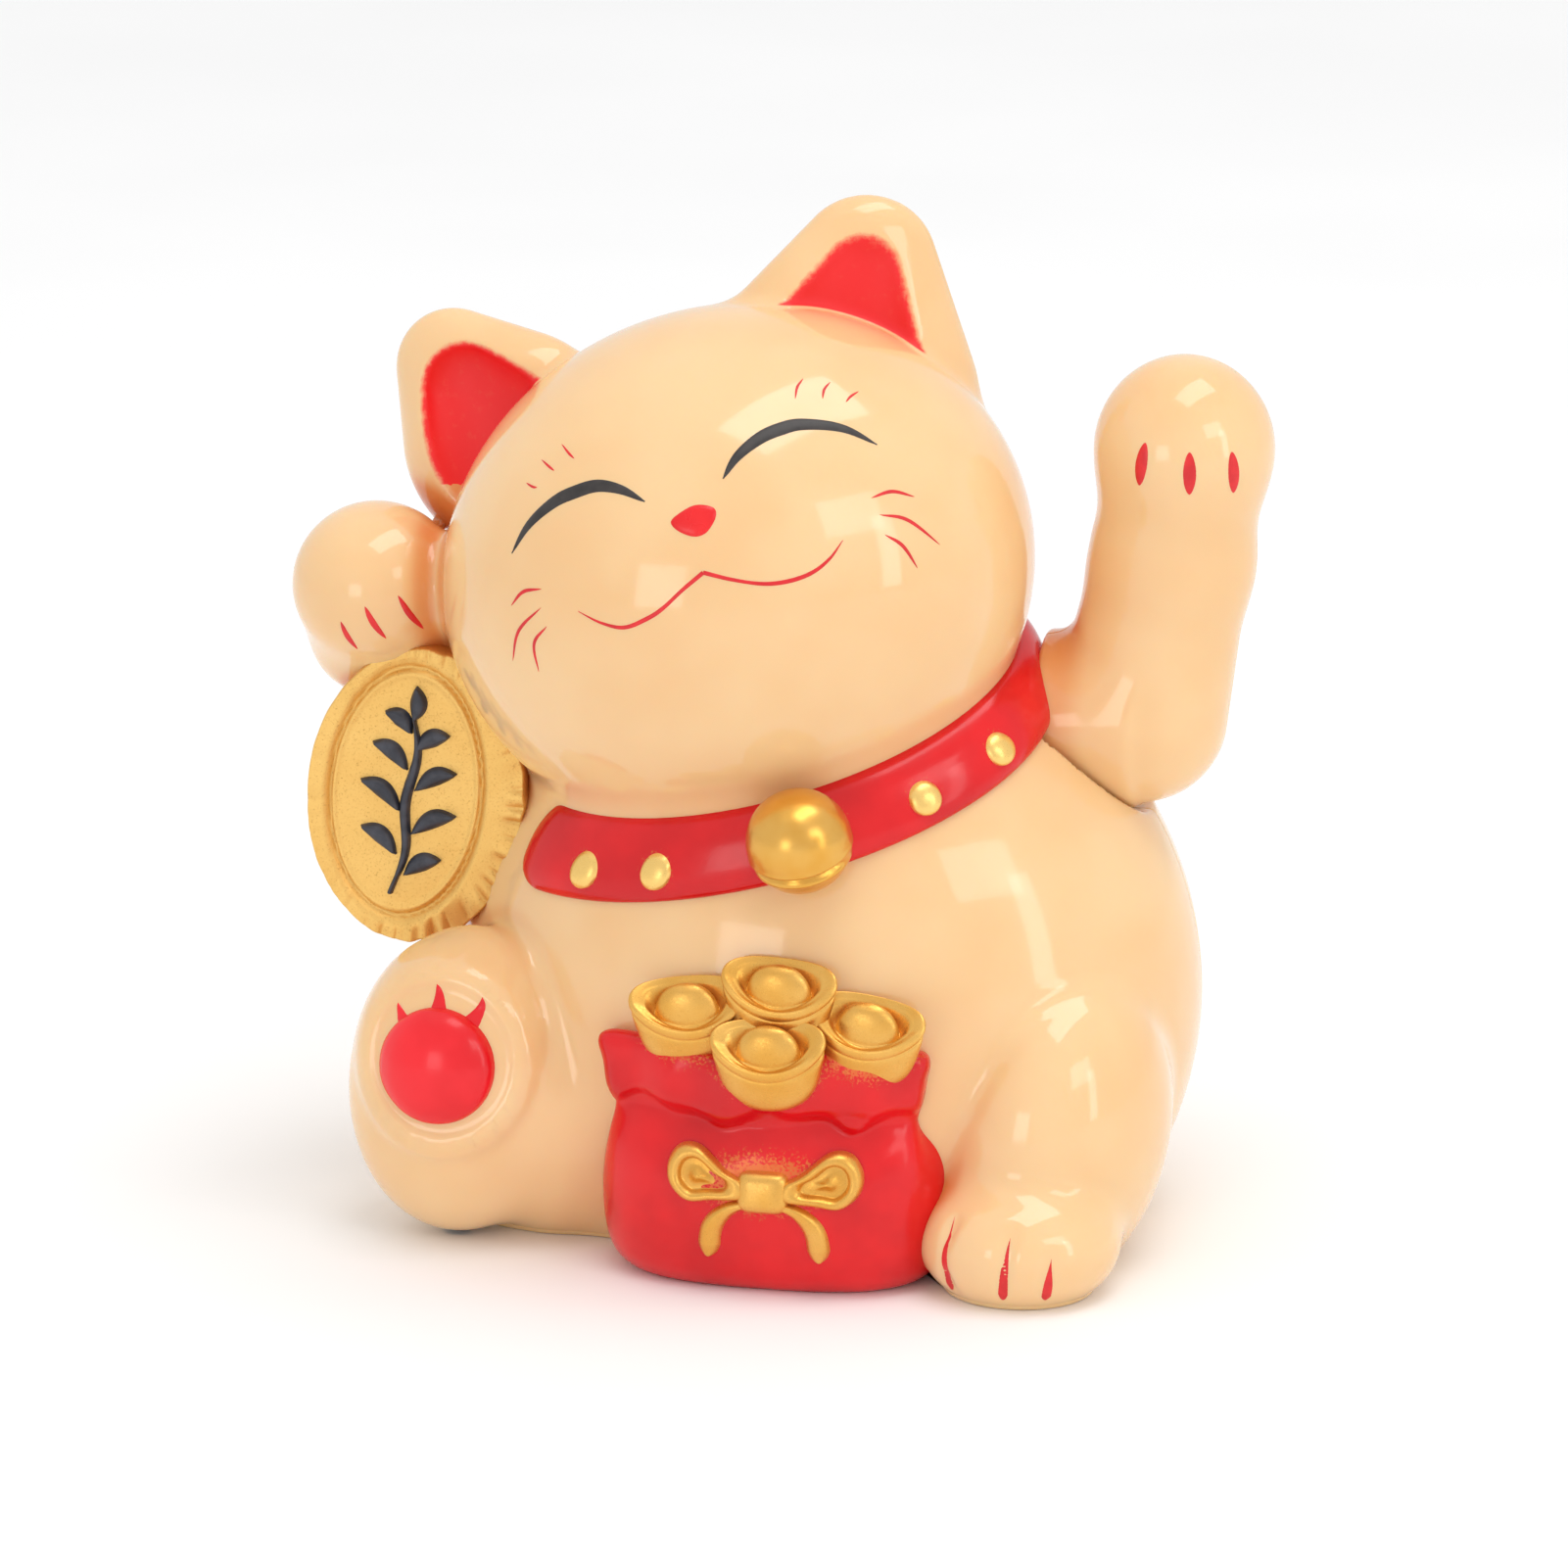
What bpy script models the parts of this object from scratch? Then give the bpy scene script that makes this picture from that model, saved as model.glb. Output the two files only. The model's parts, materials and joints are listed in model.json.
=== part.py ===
"""Beckoning cat figurine: a moulded, painted, battery-driven cat with one swinging arm.

The cat faces -Y and stands on Z = 0, and its swinging arm is on its +X side.
The frame's origin is on the underside of the base plate, in front of the battery door.
Lengths in the constants are millimetres, which mm() turns into metres.
"""
import math

import bmesh
import bpy
from mathutils import Euler, Matrix, Vector

# ---------------------------------------------------------------- driving dimensions
FIGURE_WIDTH = 107.0        # over the held coin paw and the swinging arm
FIGURE_DEPTH = 72.0         # bag to back
FIGURE_HEIGHT = 114.0       # floor to the tip of the taller ear
WALL = 1.8                  # shell wall
SOFTENING = 0.35            # what softening the clay takes off its skin
GAP = 0.3                   # between pieces that touch
RUNNING_GAP = 0.5           # around anything that swings
MERGE = 0.003               # corners closer than this become one
REST_POINT_Y = -13.5        # the frame's origin lies here on the base plate

PARTING_Y = 4.0             # front and rear shells meet here, on the arm's axis
FLOOR_THICKNESS = 4.5       # shell floor, around the base plate's opening

BASE_MARGIN_X = 1.05        # base plate beyond the battery bay's end walls
BASE_HALF_Y = 19.2
BODY_MARGIN_X = 11.0        # the body's widest point beyond the base plate
BASE_POWER = 3.0            # squareness of the base plate's outline
BASE_CENTRE_Y = 2.0
BASE_THICKNESS = 1.8

CELL_RADIUS = 7.25          # one AA cell
CELL_LENGTH = 50.5
CELL_TERMINAL_RADIUS = 2.7
CELL_TERMINAL_HEIGHT = 1.2
SPRING_SPACE = 3.4          # at the cell's flat end
PLATE_SPACE = 1.2           # at the cell's terminal end
BAY_WALL = 1.0
BAY_SIDE_GAP = 0.5
DOOR_THICKNESS = 1.3
DOOR_RECESS = 0.2           # the door's face lies this far above the floor

SCREW_RADIUS = 1.0
SCREW_HEAD_RADIUS = 2.2
SCREW_HEAD_HEIGHT = 1.0
SCREW_LENGTH = 8.0
SCREW_INSET_X = 10.4        # case screws from the base plate's ends
SCREW_HALF_Y = 14.0
BOSS_RADIUS = 3.2
BOSS_HEIGHT = 12.0
WEB_THICKNESS = 1.6

SHAFT_RADIUS = 1.0
SHAFT_INNER_X = 5.0
SHAFT_OUTER_X = 31.0
ARM_AXIS_Z = 56.2
ARM_ROOT_RADIUS = 9.3
ARM_ROOT_INNER_X = 24.0
ARM_WALL = 1.5
ARM_SEAM_Y = 3.0

BUSH_RADIUS = 2.6
BUSH_LENGTH = 3.0
BUSH_X = (9.0, 20.5)        # inner and outer bush
RIB_THICKNESS = 1.6
RIB_HALF_HEIGHT = 5.5
RING_RADIUS = 2.4
RING_THICKNESS = 0.6

LEVER_X = 14.5
LEVER_THICKNESS = 2.0
LEVER_WIDTH = 5.0
LEVER_HUB_RADIUS = 3.2
MAGNET_RADIUS = 5.0
MAGNET_THICKNESS = 3.0
MAGNET_AIR_GAP = 1.4        # magnet to coil bobbin, hanging at rest
WEIGHT_RADIUS = 4.2
WEIGHT_LENGTH = 11.0
WEIGHT_LIFT = 8.9           # weight's centre above the lever's foot
WEIGHT_OFFSET_Y = 1.0       # towards the back, against the forward-leaning arm

BOARD_REACH = (15.0, 11.0)   # either way along X from the lever
BOARD_WIDTH = 15.0
BOARD_THICKNESS = 1.2
PEG_RADIUS = 1.1
PEG_INSET = 2.5
BOBBIN_RADIUS = 7.0
BOBBIN_CORE_RADIUS = 2.6
BOBBIN_FLANGE = 0.7
BOBBIN_HEIGHT = 4.2

SWITCH_X = 10.0
SWITCH_LENGTH = 8.6
SWITCH_WIDTH = 4.0
SWITCH_HEIGHT = 3.6
SWITCH_TRAVEL = 2.0
KNOB_LENGTH = 2.2
KNOB_WIDTH = 1.8
LEAD_RADIUS = 0.5

# ---------------------------------------------------------------- values worked out from them
STRETCH = Vector((FIGURE_WIDTH / 107.0, FIGURE_DEPTH / 72.0, FIGURE_HEIGHT / 114.0))
AXIS_Y = PARTING_Y
PORT_RADIUS = ARM_ROOT_RADIUS + 0.8 + RUNNING_GAP
AXIS_Z = ARM_AXIS_Z * STRETCH.z
BAY_HALF_X = (CELL_LENGTH + CELL_TERMINAL_HEIGHT + SPRING_SPACE + PLATE_SPACE) / 2
BAY_HALF_Y = CELL_RADIUS + BAY_SIDE_GAP
BASE_HALF_X = BAY_HALF_X + BAY_WALL + BASE_MARGIN_X
SCREW_HALF_X = BASE_HALF_X - SCREW_INSET_X
CELL_Z = DOOR_RECESS + DOOR_THICKNESS + GAP + CELL_RADIUS
BAY_TOP = CELL_Z + CELL_RADIUS + GAP
ROOF_TOP = BAY_TOP + BAY_WALL
BOARD_Z = ROOF_TOP + GAP
BOARD_TOP = BOARD_Z + BOARD_THICKNESS
BOARD_LEFT = LEVER_X - BOARD_REACH[0]
BOARD_RIGHT = LEVER_X + BOARD_REACH[1]
BOBBIN_Z = BOARD_TOP + GAP
BOBBIN_TOP = BOBBIN_Z + BOBBIN_HEIGHT
MAGNET_Z = BOBBIN_TOP + MAGNET_AIR_GAP
LEVER_FOOT = MAGNET_Z + MAGNET_THICKNESS + GAP
RIB_HALF = RIB_HALF_HEIGHT * STRETCH.z
SCREW_PLACES = [(sx * SCREW_HALF_X, BASE_CENTRE_Y + sy * SCREW_HALF_Y) for sy in (-1, 1) for sx in (-1, 1)]

CREAM = (0.95, 0.66, 0.36)
DARK_CREAM = (0.85, 0.52, 0.26)
STEEL = (0.62, 0.63, 0.65)
BRASS = (0.78, 0.57, 0.25)
BLACK = (0.03, 0.03, 0.035)


def mm(*values):
    """Millimetres to metres: one number, or a vector of three."""
    return values[0] * 0.001 if len(values) == 1 else Vector(values) * 0.001


# ---------------------------------------------------------------- objects and materials
def material(name, colour, roughness=0.4, metallic=0.0):
    made = bpy.data.materials.new(name)
    made.use_nodes = True
    shader = made.node_tree.nodes["Principled BSDF"]
    shader.inputs["Base Color"].default_value = (*colour, 1.0)
    shader.inputs["Roughness"].default_value = roughness
    shader.inputs["Metallic"].default_value = metallic
    return made


def add_object(name, bm, paint=None, origin=(0, 0, 0)):
    """A new object from a bmesh in world metres, with its origin at a point in millimetres."""
    bmesh.ops.recalc_face_normals(bm, faces=bm.faces)
    if bm.calc_volume(signed=True) < 0:
        bmesh.ops.reverse_faces(bm, faces=bm.faces)
    bmesh.ops.translate(bm, verts=bm.verts, vec=-mm(*origin))
    mesh = bpy.data.meshes.new(name)
    bm.to_mesh(mesh)
    bm.free()
    made = bpy.data.objects.new(name, mesh)
    made.location = mm(*origin)
    bpy.context.scene.collection.objects.link(made)
    if paint:
        mesh.materials.append(paint)
    else:
        made.hide_render = True
        made.display_type = "WIRE"
    return made


def bake(target):
    """Replaces an object's mesh with what its modifiers make of it."""
    bpy.context.view_layer.update()
    evaluated = target.evaluated_get(bpy.context.evaluated_depsgraph_get())
    mesh = bpy.data.meshes.new_from_object(evaluated)
    target.modifiers.clear()
    bm = bmesh.new()
    bm.from_mesh(mesh)
    bmesh.ops.remove_doubles(bm, verts=bm.verts, dist=mm(MERGE))
    bmesh.ops.dissolve_degenerate(bm, edges=bm.edges, dist=mm(MERGE))
    bmesh.ops.triangulate(bm, faces=bm.faces)
    bm.to_mesh(mesh)
    bm.free()
    target.data = mesh
    return target


def boolean(target, operation, *tools, discard=True):
    """Joins, cuts or keeps what each tool covers, one after another."""
    for tool in tools:
        cut = target.modifiers.new(operation.title(), "BOOLEAN")
        cut.operation = operation
        cut.solver = "EXACT"
        cut.object = tool
    bake(target)
    for tool in tools:
        if discard:
            bpy.data.objects.remove(tool)
    return target


# ---------------------------------------------------------------- plain solids, in millimetres
def box_mesh(low, high):
    bm = bmesh.new()
    bmesh.ops.create_cube(bm, size=1.0)
    for vert in bm.verts:
        vert.co = Vector([mm(low[i] if vert.co[i] < 0 else high[i]) for i in range(3)])
    return bm


def rod_mesh(start, end, radius, end_radius=None, segments=24):
    """A round rod or cone from one point to another."""
    start, end = mm(*start), mm(*end)
    bm = bmesh.new()
    bmesh.ops.create_cone(bm, cap_ends=True, segments=segments, radius1=mm(radius),
                          radius2=mm(radius if end_radius is None else end_radius),
                          depth=(end - start).length)
    turn = (end - start).to_track_quat("Z", "Y").to_matrix().to_4x4()
    bm.transform(Matrix.Translation((start + end) / 2) @ turn)
    return bm


def ring_mesh(start, end, outer, inner, segments=24):
    """A tube along an axis: a rectangle spun round it."""
    start, end = mm(*start), mm(*end)
    length = (end - start).length
    bm = bmesh.new()
    outline = [(inner, 0), (outer, 0), (outer, length * 1000), (inner, length * 1000)]
    rings = []
    for step in range(segments):
        angle = 2 * math.pi * step / segments
        rings.append([bm.verts.new(mm(r * math.cos(angle), r * math.sin(angle), z)) for r, z in outline])
    for step in range(segments):
        here, after = rings[step], rings[(step + 1) % segments]
        for corner in range(4):
            following = (corner + 1) % 4
            bm.faces.new((here[corner], here[following], after[following], after[corner]))
    bm.transform(Matrix.Translation(start) @ (end - start).to_track_quat("Z", "Y").to_matrix().to_4x4())
    return bm


def box(name, low, high, paint=None, **options):
    return add_object(name, box_mesh(low, high), paint, **options)


def rod(name, start, end, radius, paint=None, end_radius=None, segments=24, **options):
    return add_object(name, rod_mesh(start, end, radius, end_radius, segments), paint, **options)


def ring(name, start, end, outer, inner, paint=None, segments=24, **options):
    return add_object(name, ring_mesh(start, end, outer, inner, segments), paint, **options)


def prism(name, outline, low, high, paint=None):
    """An upright prism over an outline of (x, y) points in millimetres."""
    bm = bmesh.new()
    face = bm.faces.new([bm.verts.new(mm(x, y, low)) for x, y in outline])
    pushed = bmesh.ops.extrude_face_region(bm, geom=[face])
    risen = [item for item in pushed["geom"] if isinstance(item, bmesh.types.BMVert)]
    bmesh.ops.translate(bm, verts=risen, vec=mm(0, 0, high - low))
    return add_object(name, bm, paint)


def tube(name, points, radius, paint, sides=1):
    """A round wire along a smooth route."""
    curve = bpy.data.curves.new(name, "CURVE")
    curve.dimensions = "3D"
    curve.bevel_depth = mm(radius)
    curve.bevel_resolution = sides
    curve.use_fill_caps = True
    curve.resolution_u = 3
    line = curve.splines.new("POLY")
    line.points.add(len(points) - 1)
    for point, place in zip(line.points, points):
        point.co = (*mm(*place), 1.0)
    made = bpy.data.objects.new(name, curve)
    bpy.context.scene.collection.objects.link(made)
    curve.materials.append(paint)
    return made


# ---------------------------------------------------------------- modelling clay: hulls of balls
def ball(centre, radii, turn=(0, 0, 0)):
    return Vector(centre), Vector(radii), Euler([math.radians(angle) for angle in turn]).to_matrix()


def hull_into(bm, balls, grow=0.0, fineness=3):
    """Adds the tight skin over one to three stretched balls, grown by some millimetres."""
    unit = bmesh.new()
    bmesh.ops.create_icosphere(unit, subdivisions=fineness, radius=1.0)
    skin = bmesh.new()
    for centre, radii, turn in balls:
        for vert in unit.verts:
            reach = Vector([vert.co[i] * (radii[i] + grow) for i in range(3)])
            place = centre + turn @ reach
            skin.verts.new(Vector([mm(place[i] * STRETCH[i]) for i in range(3)]))
    unit.free()
    made = bmesh.ops.convex_hull(skin, input=skin.verts)
    loose = {item for key in ("geom_interior", "geom_unused") for item in made[key]}
    bmesh.ops.delete(skin, geom=[item for item in loose if isinstance(item, bmesh.types.BMVert)])
    piece = bpy.data.meshes.new("hull")
    skin.to_mesh(piece)
    skin.free()
    bm.from_mesh(piece)
    bpy.data.meshes.remove(piece)


def clay(name, lumps, grow=0.0, grain=1.3, smoothing=6, triangles=3000):
    """Fuses lumps into one soft skin, then thins it out to about a number of triangles."""
    bm = bmesh.new()
    for lump in lumps:
        hull_into(bm, lump, grow)
    made = add_object(name, bm)
    fuse = made.modifiers.new("Fuse", "REMESH")
    fuse.mode = "VOXEL"
    fuse.voxel_size = mm(grain)
    soften = made.modifiers.new("Soften", "SMOOTH")
    soften.factor = 0.5
    soften.iterations = smoothing
    bake(made)
    thin = made.modifiers.new("Thin", "DECIMATE")
    thin.ratio = min(1.0, triangles / (2.0 * len(made.data.polygons)))
    return bake(made)


# ---------------------------------------------------------------- the cat's shape, design millimetres
TORSO = [ball((0.5, 2, 25), (BASE_HALF_X + BODY_MARGIN_X, 32, 41.5))]
HEAD = [ball((-8.1, -6, 73.0), (32.2, 27, 28.7), (0, -16, 8))]
HAUNCH = [ball((28.2, -13, 14.5), (13, 15, 19), (0, 10, 0))]
FRONT_PAW = [ball((26.8, -25, 5.4), (11, 10, 7.4))]
THIGH = [ball((-26.5, -6, 15), (18.5, 21, 18.5))]
SOLE = [ball((-35.8, -20, 17.8), (12.8, 10, 17.4), (0, 8, 0))]
COIN_ARM = [ball((-30, 4, 50), (9, 9, 9)), ball((-49.5, -3, 63.7), (7.5, 7.5, 7.5))]
COIN_PAW = [ball((-48.2, -7.5, 69.8), (9.3, 9.2, 9.0))]
EAR_TALL = [ball((4.0, 3, 105.2), (7.8, 4.6, 7.8), (0, 8, 14)), ball((0.9, 1, 90.0), (16.0, 7.2, 15.8), (0, 8, 14))]
EAR_LOW = [ball((-41.4, 3, 91.5), (7.0, 4.4, 7.0), (0, -12, -6)), ball((-34.4, 1, 84.2), (13.0, 6.6, 12.6), (0, -12, -6))]
TAIL = [[ball((6, 33.5, 8), (4.2, 4.2, 4.2)), ball((15, 33, 12), (4.2, 4.2, 4.2))],
        [ball((15, 33, 12), (4.2, 4.2, 4.2)), ball((17, 32.5, 21), (3.8, 3.8, 3.8))]]
BIG_LUMPS = [TORSO, HEAD, HAUNCH, FRONT_PAW, THIGH, SOLE, COIN_ARM, COIN_PAW, EAR_TALL, EAR_LOW]

COLLAR_CENTRE = (-1.0, 0.0, 55.8)
COLLAR_TURN = (16, -14, 0)
COLLAR_HALF_WIDTH = 3.8
COLLAR_PROUD = 1.7
COLLAR_END_X = -30.5
STUDS = [(-21.1, -23.0, 43.5), (-12.5, -25.9, 44.8), (14.9, -20.5, 53.2), (21.2, -13.5, 56.9)]
STUD_RADIUS = 2.1
BELL = [ball((3.9, -29.6, 50.4), (5.2, 5.2, 5.5))]

COIN_CENTRE = (-44.0, -9.5, 47.3)
COIN_HALF = (11.6, 3.0, 17.0)
COIN_TURN = (0, 7, 0)
COIN_RIM = 3.2
COIN_DISH = 0.8

BAG_CENTRE_Y = -22.0
BAG_SECTIONS = [(0.0, 16.0, 9.4, 0.0), (2.0, 18.2, 11.4, 0.0), (9.0, 19.2, 12.8, 0.0), (16.0, 18.5, 12.2, 0.3),
                (19.0, 17.9, 11.6, 0.7), (23.5, 18.7, 11.8, 0.9), (26.5, 19.2, 11.2, 1.0), (26.9, 16.4, 8.6, 0.4)]
INGOTS = [(1.8, -27.5, 33.2), (-7.9, -29.0, 30.2), (11.0, -29.0, 29.2), (1.3, -31.5, 27.0)]
BOW_PLACE = (0.8, -34.6, 12.4)


def swung_arm_lumps():
    root_x = (ARM_ROOT_INNER_X + 1.0) / STRETCH.x
    root_z = ARM_AXIS_Z
    return [[ball((34.6, 3.2, root_z + 0.6), (9.6, 8.6, 9.6)), ball((38.2, 3, 74.5), (8.3, 8.0, 8.3))],
            [ball((38.2, 3, 74.5), (8.3, 8.0, 8.3)), ball((39.4, 2.2, 85), (8.3, 8.0, 8.3))],
            [ball((39.5, 2, 87.6), (9.5, 8.8, 9.6))],
            [ball((root_x + 8, AXIS_Y / STRETCH.y, root_z), (8.6, 8.6, 8.6)),
             ball((34.6, 3.2, root_z + 0.6), (9.6, 8.6, 9.6))]]


def collar_band():
    """The neck's own surface, grown, and kept between two tilted planes."""
    band = clay("collar", [TORSO, HEAD], grow=COLLAR_PROUD, grain=1.8, triangles=1500)
    slab = bmesh.new()
    bmesh.ops.create_cone(slab, cap_ends=True, segments=32, radius1=mm(60), radius2=mm(60),
                          depth=mm(2 * COLLAR_HALF_WIDTH))
    turn = Euler([math.radians(angle) for angle in COLLAR_TURN]).to_matrix().to_4x4()
    centre = Vector([mm(COLLAR_CENTRE[i] * STRETCH[i]) for i in range(3)])
    slab.transform(Matrix.Translation(centre) @ turn)
    keep = box("collar_reach", (COLLAR_END_X * STRETCH.x, -60, 0), (60, 60, 100))
    return boolean(band, "INTERSECT", add_object("collar_slab", slab), keep)


def coin_plate():
    """An oval plate with a raised rim and a dished face."""
    turn = Euler([math.radians(angle) for angle in COIN_TURN]).to_matrix().to_4x4()
    steps = [(1.0, COIN_HALF[1]), (1.0, -COIN_HALF[1] + 0.8), (0.94, -COIN_HALF[1]),
             (1 - COIN_RIM / COIN_HALF[0], -COIN_HALF[1]), (0.95 - COIN_RIM / COIN_HALF[0], COIN_DISH - COIN_HALF[1])]
    bm = bmesh.new()
    loops = []
    for share, depth in steps:
        angles = [2 * math.pi * step / 32 for step in range(32)]
        loops.append([bm.verts.new(Vector((COIN_HALF[0] * share * math.cos(a), depth,
                                           COIN_HALF[2] * share * math.sin(a)))) for a in angles])
    for near, far in zip(loops, loops[1:]):
        for step in range(32):
            after = (step + 1) % 32
            bm.faces.new((near[step], near[after], far[after], far[step]))
    bm.faces.new(loops[0])
    bm.faces.new(loops[-1])
    bm.transform(turn)
    for vert in bm.verts:
        vert.co = Vector([mm((vert.co[i] + COIN_CENTRE[i]) * STRETCH[i]) for i in range(3)])
    return add_object("coin", bm)


def bag_sack():
    """A tied sack: rounded sections whose edge grows wavy towards the mouth."""
    steps = 40
    bm = bmesh.new()
    loops = []
    for height, half_x, half_y, wave in BAG_SECTIONS:
        loop = []
        for step in range(steps):
            angle = 2 * math.pi * step / steps
            ripple = 1 + 0.035 * wave * math.sin(7 * angle + 0.6)
            x = half_x * ripple * math.copysign(abs(math.cos(angle)) ** 0.75, math.cos(angle))
            y = half_y * ripple * math.copysign(abs(math.sin(angle)) ** 0.75, math.sin(angle))
            lift = 0.5 * wave * math.sin(5 * angle)
            place = (x, BAG_CENTRE_Y + y, height + (lift if height > 20 else 0))
            loop.append(bm.verts.new(Vector([mm(place[i] * STRETCH[i]) for i in range(3)])))
        loops.append(loop)
    for near, far in zip(loops, loops[1:]):
        for step in range(steps):
            after = (step + 1) % steps
            bm.faces.new((near[step], near[after], far[after], far[step]))
    bm.faces.new(loops[0])
    bm.faces.new(loops[-1])
    return add_object("bag", bm)


def lump(name, *balls, fineness=2):
    bm = bmesh.new()
    hull_into(bm, balls, fineness=fineness)
    return add_object(name, bm)


def ingot(place):
    """A boat-shaped ingot with a domed middle."""
    x, y, z = place
    boat = lump("boat", ball((x - 4.4, y, z + 0.4), (1.6, 2.2, 2.0)), ball((x, y, z - 0.9), (3.6, 3.2, 2.8)),
                ball((x + 4.4, y, z + 0.4), (1.6, 2.2, 2.0)))
    dome = lump("dome", ball((x, y - 0.4, z + 1.6), (3.0, 2.7, 2.8)))
    return boolean(boat, "UNION", dome)


def bow():
    """Two flat loops, two tails and a knot, in low relief."""
    x, y, z = BOW_PLACE
    pieces = [lump("knot", ball((x, y - 0.3, z), (2.7, 1.4, 2.1)))]
    for side in (-1, 1):
        pieces.append(lump("loop", ball((x + side * 1.5, y, z), (1.0, 1.0, 1.2)),
                           ball((x + side * 8.6, y + 0.5, z + 1.6), (2.2, 1.1, 2.6))))
        pieces.append(lump("tail", ball((x + side * 1.6, y, z - 1), (0.9, 1.0, 0.9)),
                           ball((x + side * 5.8, y + 0.6, z - 5.8), (1.5, 1.0, 1.4))))
    return boolean(pieces[0], "UNION", *pieces[1:])


def outer_skin():
    """Everything moulded in one with the shells, cut flat at the floor."""
    skin = clay("outer_skin", BIG_LUMPS + TAIL, grow=SOFTENING, triangles=3800)
    dressing = [collar_band(), coin_plate(), bag_sack(), lump("bell", *BELL)]
    dressing += [lump("stud", ball(place, (STUD_RADIUS,) * 3)) for place in STUDS]
    dressing += [ingot(place) for place in INGOTS]
    dressing.append(bow())
    boolean(skin, "UNION", *dressing)
    above = box("above_floor", (-200, -200, 0), (200, 200, 300))
    return boolean(skin, "INTERSECT", above)


# ---------------------------------------------------------------- what the shells hold
def base_outline(grow=0.0, steps=48):
    """Superellipse, a touch squarer than an oval, so that the battery bay fits."""
    points = []
    for step in range(steps):
        angle = 2 * math.pi * step / steps
        x = math.copysign(abs(math.cos(angle)) ** (2 / BASE_POWER), math.cos(angle))
        y = math.copysign(abs(math.sin(angle)) ** (2 / BASE_POWER), math.sin(angle))
        points.append(((BASE_HALF_X + grow) * x, BASE_CENTRE_Y + (BASE_HALF_Y + grow) * y))
    return points


def cavity():
    """The hollow of both shells: what is left of it are bosses, webs and bearing ribs."""
    hollow = clay("cavity", BIG_LUMPS, grow=-WALL, grain=1.8, triangles=1700)
    boolean(hollow, "INTERSECT", box("above", (-200, -200, FLOOR_THICKNESS), (200, 200, 300)))
    boolean(hollow, "UNION", prism("opening", base_outline(GAP), -5, FLOOR_THICKNESS + 1))
    kept = []
    boss_bottom = BASE_THICKNESS + GAP
    for x, y in SCREW_PLACES:
        side = math.copysign(1, x)
        depth_side = math.copysign(1, y - BASE_CENTRE_Y)
        kept.append(rod("boss", (x, y, boss_bottom), (x, y, BOSS_HEIGHT), BOSS_RADIUS, segments=20))
        kept.append(box("web", (min(x, x + side * 30), y - WEB_THICKNESS / 2, boss_bottom),
                        (max(x, x + side * 30), y + WEB_THICKNESS / 2, BOSS_HEIGHT - 1)))
        kept.append(box("web", (x - WEB_THICKNESS / 2, min(y, y + depth_side * 30), boss_bottom),
                        (x + WEB_THICKNESS / 2, max(y, y + depth_side * 30), BOSS_HEIGHT - 1)))
    for x in BUSH_X:
        kept.append(box("rib", (x - RIB_THICKNESS / 2, -60, AXIS_Z - RIB_HALF),
                        (x + RIB_THICKNESS / 2, 60, AXIS_Z + RIB_HALF)))
    boolean(hollow, "DIFFERENCE", *kept)
    axis = (AXIS_Y, AXIS_Z)
    holes = [rod("port", (ARM_ROOT_INNER_X - 1.0, *axis), (80, *axis), PORT_RADIUS, segments=40)]
    for x in BUSH_X:
        holes.append(rod("seat", (x - BUSH_LENGTH, *axis), (x + BUSH_LENGTH, *axis), BUSH_RADIUS + GAP, segments=20))
    for x, y in SCREW_PLACES:
        holes.append(rod("pilot", (x, y, 0), (x, y, BASE_THICKNESS + SCREW_LENGTH + 1), SCREW_RADIUS + GAP,
                         segments=16))
    return boolean(hollow, "UNION", *holes)


def shells(skin, hollow):
    """Front and rear halves, parted at the arm's axis."""
    plastic = material("cream_plastic", CREAM, 0.2)
    halves = {"front_shell": (-200, PARTING_Y - GAP / 2), "rear_shell": (PARTING_Y + GAP / 2, 200)}
    for name, (low, high) in halves.items():
        half = box(name, (-200, low, -1), (200, high, 300), plastic)
        boolean(half, "INTERSECT", skin, discard=False)
        boolean(half, "DIFFERENCE", hollow, discard=False)
        half.data.materials.clear()
        half.data.materials.append(plastic)
    bpy.data.objects.remove(skin)
    bpy.data.objects.remove(hollow)


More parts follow.
